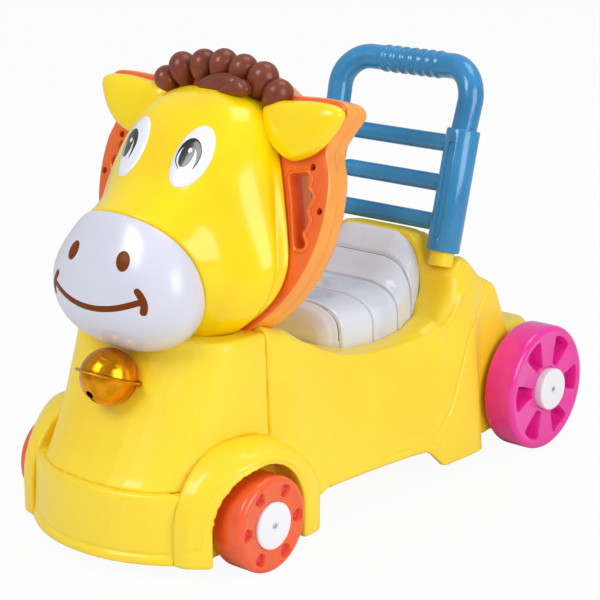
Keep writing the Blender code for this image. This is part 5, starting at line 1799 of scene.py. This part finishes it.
@dataclass
class YellowShells:
    """Body, neck and bumper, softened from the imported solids, with their moulded lines and hems."""

    shop: Workshop
    nodes: dict
    passes: int = 8
    grow: float = 0.0006
    settle_angle: float = 80.0
    # Each softened solid with its name's start, the grid of its even skin and its most triangles
    skins: tuple = (("body", 0.0016, 190000), ("neck", 0.0014, 120000), ("bumper", 0.0012, 80000))
    # Middles and reaches of the places that are rounded most: the mound under a post, the corner below it
    mounds: tuple = ((0.0900, 0.1550, 0.2150, 0.058), (0.1150, 0.1620, 0.1800, 0.034),
                     (0.1150, 0.1620, 0.1500, 0.030), (0.1150, 0.1620, 0.1250, 0.026))
    mound_rounds: int = 45
    # The mound's top: across and along, how wide it is, and the heights between which it starts to rise
    mound_top: tuple = (0.0920, 0.1580)
    mound_width: float = 0.0200
    mound_rise: float = 0.0125
    mound_foot: float = 0.18
    mound_blend: float = 0.03
    post_x: float = 0.0850
    # Lower edge of the body's side: along and up, where it lies across, and half the lip's size
    hem_path: tuple = ((-0.0860, 0.0465), (-0.0742, 0.0466), (-0.0327, 0.0458), (0.0050, 0.0446),
                       (0.0470, 0.0424), (0.0702, 0.0400), (0.0840, 0.0340), (0.0939, 0.0245),
                       (0.1022, 0.0200), (0.1258, 0.0212), (0.1500, 0.0216))
    hem_x: tuple = ((-0.0860, 0.1172), (0.0500, 0.1180), (0.0939, 0.1216), (0.1500, 0.1236))
    hem_half: tuple = (0.0028, 0.0052)
    hem_power: float = 0.8

    def softened(self, node: str, name: str, voxel: float, budget: int) -> bpy.types.Object:
        """Copy a solid, close its skin evenly and round every edge as a blow mould does.

        Args:
            node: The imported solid.
            name: Name of the new piece.
            voxel: Grid of the even skin.
            budget: Most triangles of the finished piece.

        Returns:
            The softened piece.
        """
        bm = bmesh.new()
        bm.from_mesh(self.nodes[node].data)
        bmesh.ops.remove_doubles(bm, verts=bm.verts, dist=0.01 * MM)
        piece = self.shop.mesh_object(name, bm)
        even = piece.modifiers.new("even", "REMESH")
        even.mode = "VOXEL"
        even.voxel_size = voxel
        even.use_smooth_shade = True
        soft = piece.modifiers.new("soft", "SMOOTH")
        soft.factor = 0.5
        soft.iterations = self.passes
        self.shop.settle(piece, self.settle_angle)
        self.shape(piece, [crease for crease in CREASES if crease.node == node])
        fewer = piece.modifiers.new("fewer", "DECIMATE")
        fewer.ratio = min(1.0, budget / (2 * len(piece.data.polygons)))
        return self.shop.settle(piece, self.settle_angle)

    def shape(self, piece: bpy.types.Object, creases: Sequence[Crease]) -> None:
        """Close up the seams, round the mounds under the posts and press the moulded lines.

        Args:
            piece: The even skin.
            creases: Its moulded lines.
        """
        bm = bmesh.new()
        bm.from_mesh(piece.data)
        round_top = []
        for vert in bm.verts:
            vert.co += vert.normal * self.grow
            spot = Vector((abs(vert.co.x), vert.co.y, vert.co.z))
            if any((spot - Vector((x, y, z))).length < reach for x, y, z, reach in self.mounds):
                round_top.append(vert)
        for _ in range(self.mound_rounds):
            bmesh.ops.smooth_vert(bm, verts=round_top, factor=0.5, use_axis_x=True, use_axis_y=True,
                                  use_axis_z=True)
        top_x, top_y = self.mound_top
        for vert in round_top:
            # The mound stands highest right behind the post and falls away to the rear
            gap = Vector((abs(vert.co.x) - top_x, vert.co.y - top_y)).length
            share = min(1.0, max(0.0, (vert.co.z - self.mound_foot) / self.mound_blend))
            vert.co.z += self.mound_rise * share * math.exp(-(gap / self.mound_width) ** 2)
        bm.normal_update()
        for crease in creases:
            crease.press(bm)
        bm.to_mesh(piece.data)
        bm.free()

    def post(self, side: Side) -> None:
        """Round post between the mound and the sleeve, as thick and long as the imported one.

        Args:
            side: Side of the animal.
        """
        node = self.nodes[f"handle_post_{side.word}"]
        back = (HANDLE_PLANE @ Matrix.Translation((side.value * self.post_x, 0, 0))).inverted()
        spots = [back @ vert.co for vert in node.data.vertices]
        radius = max(math.hypot(spot.x, spot.y) for spot in spots)
        low, high = min(spot.z for spot in spots), max(spot.z for spot in spots)
        bm = bmesh.new()
        spun(bm, ((0.0, low), (radius - 0.0010, low), (radius, low + 0.0010), (radius, high - 0.0010),
                  (radius - 0.0010, high), (0.0, high)), 56)
        moved(bm, back.inverted())
        piece = self.shop.mesh_object(f"post_skin_{side.word}", bm)
        self.shop.dress(piece, BODY_YELLOW, CHASSIS, "yellow_shell", [node.name])

    def hem(self, side: Side) -> None:
        """Rounded lip along the lower edge of the body's side.

        Args:
            side: Side of the animal.
        """
        bm = bmesh.new()
        rows = []
        line = smooth_loop(self.hem_path, 6, closed=False)
        thick, tall = self.hem_half
        for k, (y, z) in enumerate(line):
            before, after = line[max(k - 1, 0)], line[min(k + 1, len(line) - 1)]
            run = (Vector(after) - Vector(before)).normalized()
            x = along(self.hem_x, y)
            row = []
            for i in range(16):
                a = math.tau * i / 16
                out = thick * power(math.cos(a), self.hem_power)
                rise = tall * power(math.sin(a), self.hem_power)
                row.append(Vector((side.value * (x + out), y - run.y * rise, z + run.x * rise)))
            rows.append(row)
        loft(bm, rows)
        self.shop.dress(self.shop.mesh_object(f"side_hem_{side.word}", bm, 60.0), BODY_YELLOW, CHASSIS)

    def build(self) -> None:
        """Make the large yellow pieces."""
        for word, voxel, budget in self.skins:
            piece = self.softened(f"{word}_shell", f"{word}_skin", voxel, budget)
            self.shop.dress(piece, BODY_YELLOW, CHASSIS, "yellow_shell", [f"{word}_shell"])
        for side in Side:
            self.hem(side)
            self.post(side)


# Carried-over solids

NODE_FINISHES = (("base_plate", BODY_YELLOW), ("front_axle", STEEL), ("rear_axle", STEEL),
                 ("front_spacer_left", SEAT_WHITE), ("front_spacer_right", SEAT_WHITE),
                 ("rear_spacer_left", SEAT_WHITE), ("rear_spacer_right", SEAT_WHITE),
                 ("front_axle_nut_left", STEEL), ("front_axle_nut_right", STEEL),
                 ("rear_axle_nut_left", STEEL), ("rear_axle_nut_right", STEEL))


def finish_solids(shop: Workshop, nodes: dict) -> None:
    """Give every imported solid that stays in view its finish.

    Args:
        shop: Keeper of the finishes.
        nodes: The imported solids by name.
    """
    for name, finish in NODE_FINISHES:
        materials = nodes[name].data.materials
        if len(materials) == 0:
            materials.append(shop.material(finish))
        for k in range(len(materials)):
            materials[k] = shop.material(finish)


# Studio

WHITE = (1.0, 1.0, 1.0, 1.0)


@dataclass
class Studio:
    """Pale floor, soft lamps and the camera at the photograph's angle."""

    lens_px: float = 1920.98
    frame_px: int = 600
    sensor_mm: float = 36.0
    place: tuple = (1.2401, -1.4249, 0.7165)
    azimuth: float = math.radians(40.908)
    elevation: float = math.radians(15.5576)
    floor_half: float = 6.0
    # Tone of the floor under the lamps, and how much of it the camera sees as plain white
    floor_tone: float = 0.80
    floor_white: float = 0.95
    room: tuple = (0.92, 0.95, 1.0, 1.0)
    room_strength: float = 0.54
    aim: tuple = (0.0, 0.0, 0.22)
    # Each soft lamp: name, place, size and watts
    lamps: tuple = (("key", (-0.35, -1.70, 1.75), 0.9, 16.5), ("fill", (1.90, -0.30, 0.95), 1.2, 17.0),
                    ("top", (0.30, 0.50, 2.10), 1.0, 8.0))

    def camera(self) -> None:
        """Camera recovered from the wheels' ellipses."""
        data = bpy.data.cameras.new("camera")
        data.sensor_width = self.sensor_mm
        data.lens = self.lens_px * self.sensor_mm / self.frame_px
        camera = bpy.data.objects.new("camera", data)
        camera.location = self.place
        camera.rotation_euler = (math.pi / 2 - self.elevation, 0.0, self.azimuth)
        bpy.context.scene.collection.objects.link(camera)
        bpy.context.scene.camera = camera

    def lamp(self, name: str, place: Vector, size: float, watts: float) -> None:
        """Square soft lamp that points at a place.

        Args:
            name: Name of the lamp.
            place: Where it stands.
            size: Length of its side.
            watts: Its power.
        """
        data = bpy.data.lights.new(name, "AREA")
        data.size = size
        data.energy = watts
        lamp = bpy.data.objects.new(name, data)
        lamp.location = place
        lamp.rotation_euler = (Vector(self.aim) - place).to_track_quat("-Z", "Y").to_euler()
        bpy.context.scene.collection.objects.link(lamp)

    def floor(self) -> None:
        """Wide pale floor that keeps a faint shadow."""
        bm = bmesh.new()
        bmesh.ops.create_grid(bm, x_segments=1, y_segments=1, size=self.floor_half)
        mesh = bpy.data.meshes.new("floor")
        bm.to_mesh(mesh)
        bm.free()
        floor = bpy.data.objects.new("floor", mesh)
        bpy.context.scene.collection.objects.link(floor)
        material = bpy.data.materials.new("floor_white")
        material.use_nodes = True
        tree = material.node_tree
        tree.nodes.clear()
        path = add_node(tree, "ShaderNodeLightPath")
        share = add_node(tree, "ShaderNodeMath", {0: path.outputs["Is Camera Ray"], 1: self.floor_white},
                         operation="MULTIPLY")
        tone = self.floor_tone
        matt = add_node(tree, "ShaderNodeBsdfDiffuse", {"Color": (tone, tone, tone, 1.0)})
        glow = add_node(tree, "ShaderNodeEmission", {"Color": WHITE, "Strength": 1.0})
        both = add_node(tree, "ShaderNodeMixShader", {0: share.outputs["Value"], 1: matt.outputs["BSDF"],
                                                      2: glow.outputs["Emission"]})
        add_node(tree, "ShaderNodeOutputMaterial", {"Surface": both.outputs["Shader"]})
        mesh.materials.append(material)

    def world(self) -> None:
        """Even pale surroundings, pure white to the camera."""
        world = bpy.data.worlds.new("surroundings")
        world.use_nodes = True
        tree = world.node_tree
        tree.nodes.clear()
        path = add_node(tree, "ShaderNodeLightPath")
        room = add_node(tree, "ShaderNodeBackground", {"Color": self.room, "Strength": self.room_strength})
        white = add_node(tree, "ShaderNodeBackground", {"Color": WHITE, "Strength": 1.0})
        both = add_node(tree, "ShaderNodeMixShader", {0: path.outputs["Is Camera Ray"],
                                                      1: room.outputs["Background"],
                                                      2: white.outputs["Background"]})
        add_node(tree, "ShaderNodeOutputWorld", {"Surface": both.outputs["Shader"]})
        bpy.context.scene.world = world

    def build(self) -> None:
        """Set the whole studio."""
        self.camera()
        self.floor()
        self.world()
        for name, place, size, watts in self.lamps:
            self.lamp(name, Vector(place), size, watts)
        bpy.context.scene.view_settings.view_transform = "Standard"


# Assembly

def build_wheels(shop: Workshop) -> None:
    """Make the four wheels.

    Args:
        shop: Keeper of the finishes.
    """
    for side in Side:
        Wheel(shop, "front", side, axle=(0.0, -0.2030, 0.0462), outer_x=0.1497, radius=0.0462, width=0.0365,
              cap_rise=0.0020, finish=WHEEL_RED, pocket_finish=POCKET_SHADE_RED, slot="red_wheel",
              pocket=(0.0285, 0.0385, 0.0038, 0.0056), pocket_depth=0.0045).build()
        Wheel(shop, "rear", side, axle=(0.0, 0.2428, 0.0680), outer_x=0.1492, radius=0.0680, width=0.0374,
              cap_rise=0.0080, finish=WHEEL_PINK, pocket_finish=POCKET_SHADE_PINK, slot="pink_wheel",
              pocket=(0.0275, 0.0570, 0.0054, 0.0135), pocket_depth=0.0130).build()


def main() -> None:
    """Build the walker's looks in order."""
    logging.basicConfig(level=logging.INFO, format="%(message)s")
    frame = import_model()
    shop = Workshop()
    Studio().build()
    YellowShells(shop, frame["nodes"]).build()
    Head(shop).build()
    GripDisc(shop).build()
    Saddle(shop).build()
    PushFrame(shop).build()
    Bell(shop).build()
    build_wheels(shop)
    finish_solids(shop, frame["nodes"])
    LOG.info("%d pieces", shop.count)


if __name__ == "__main__":
    main()
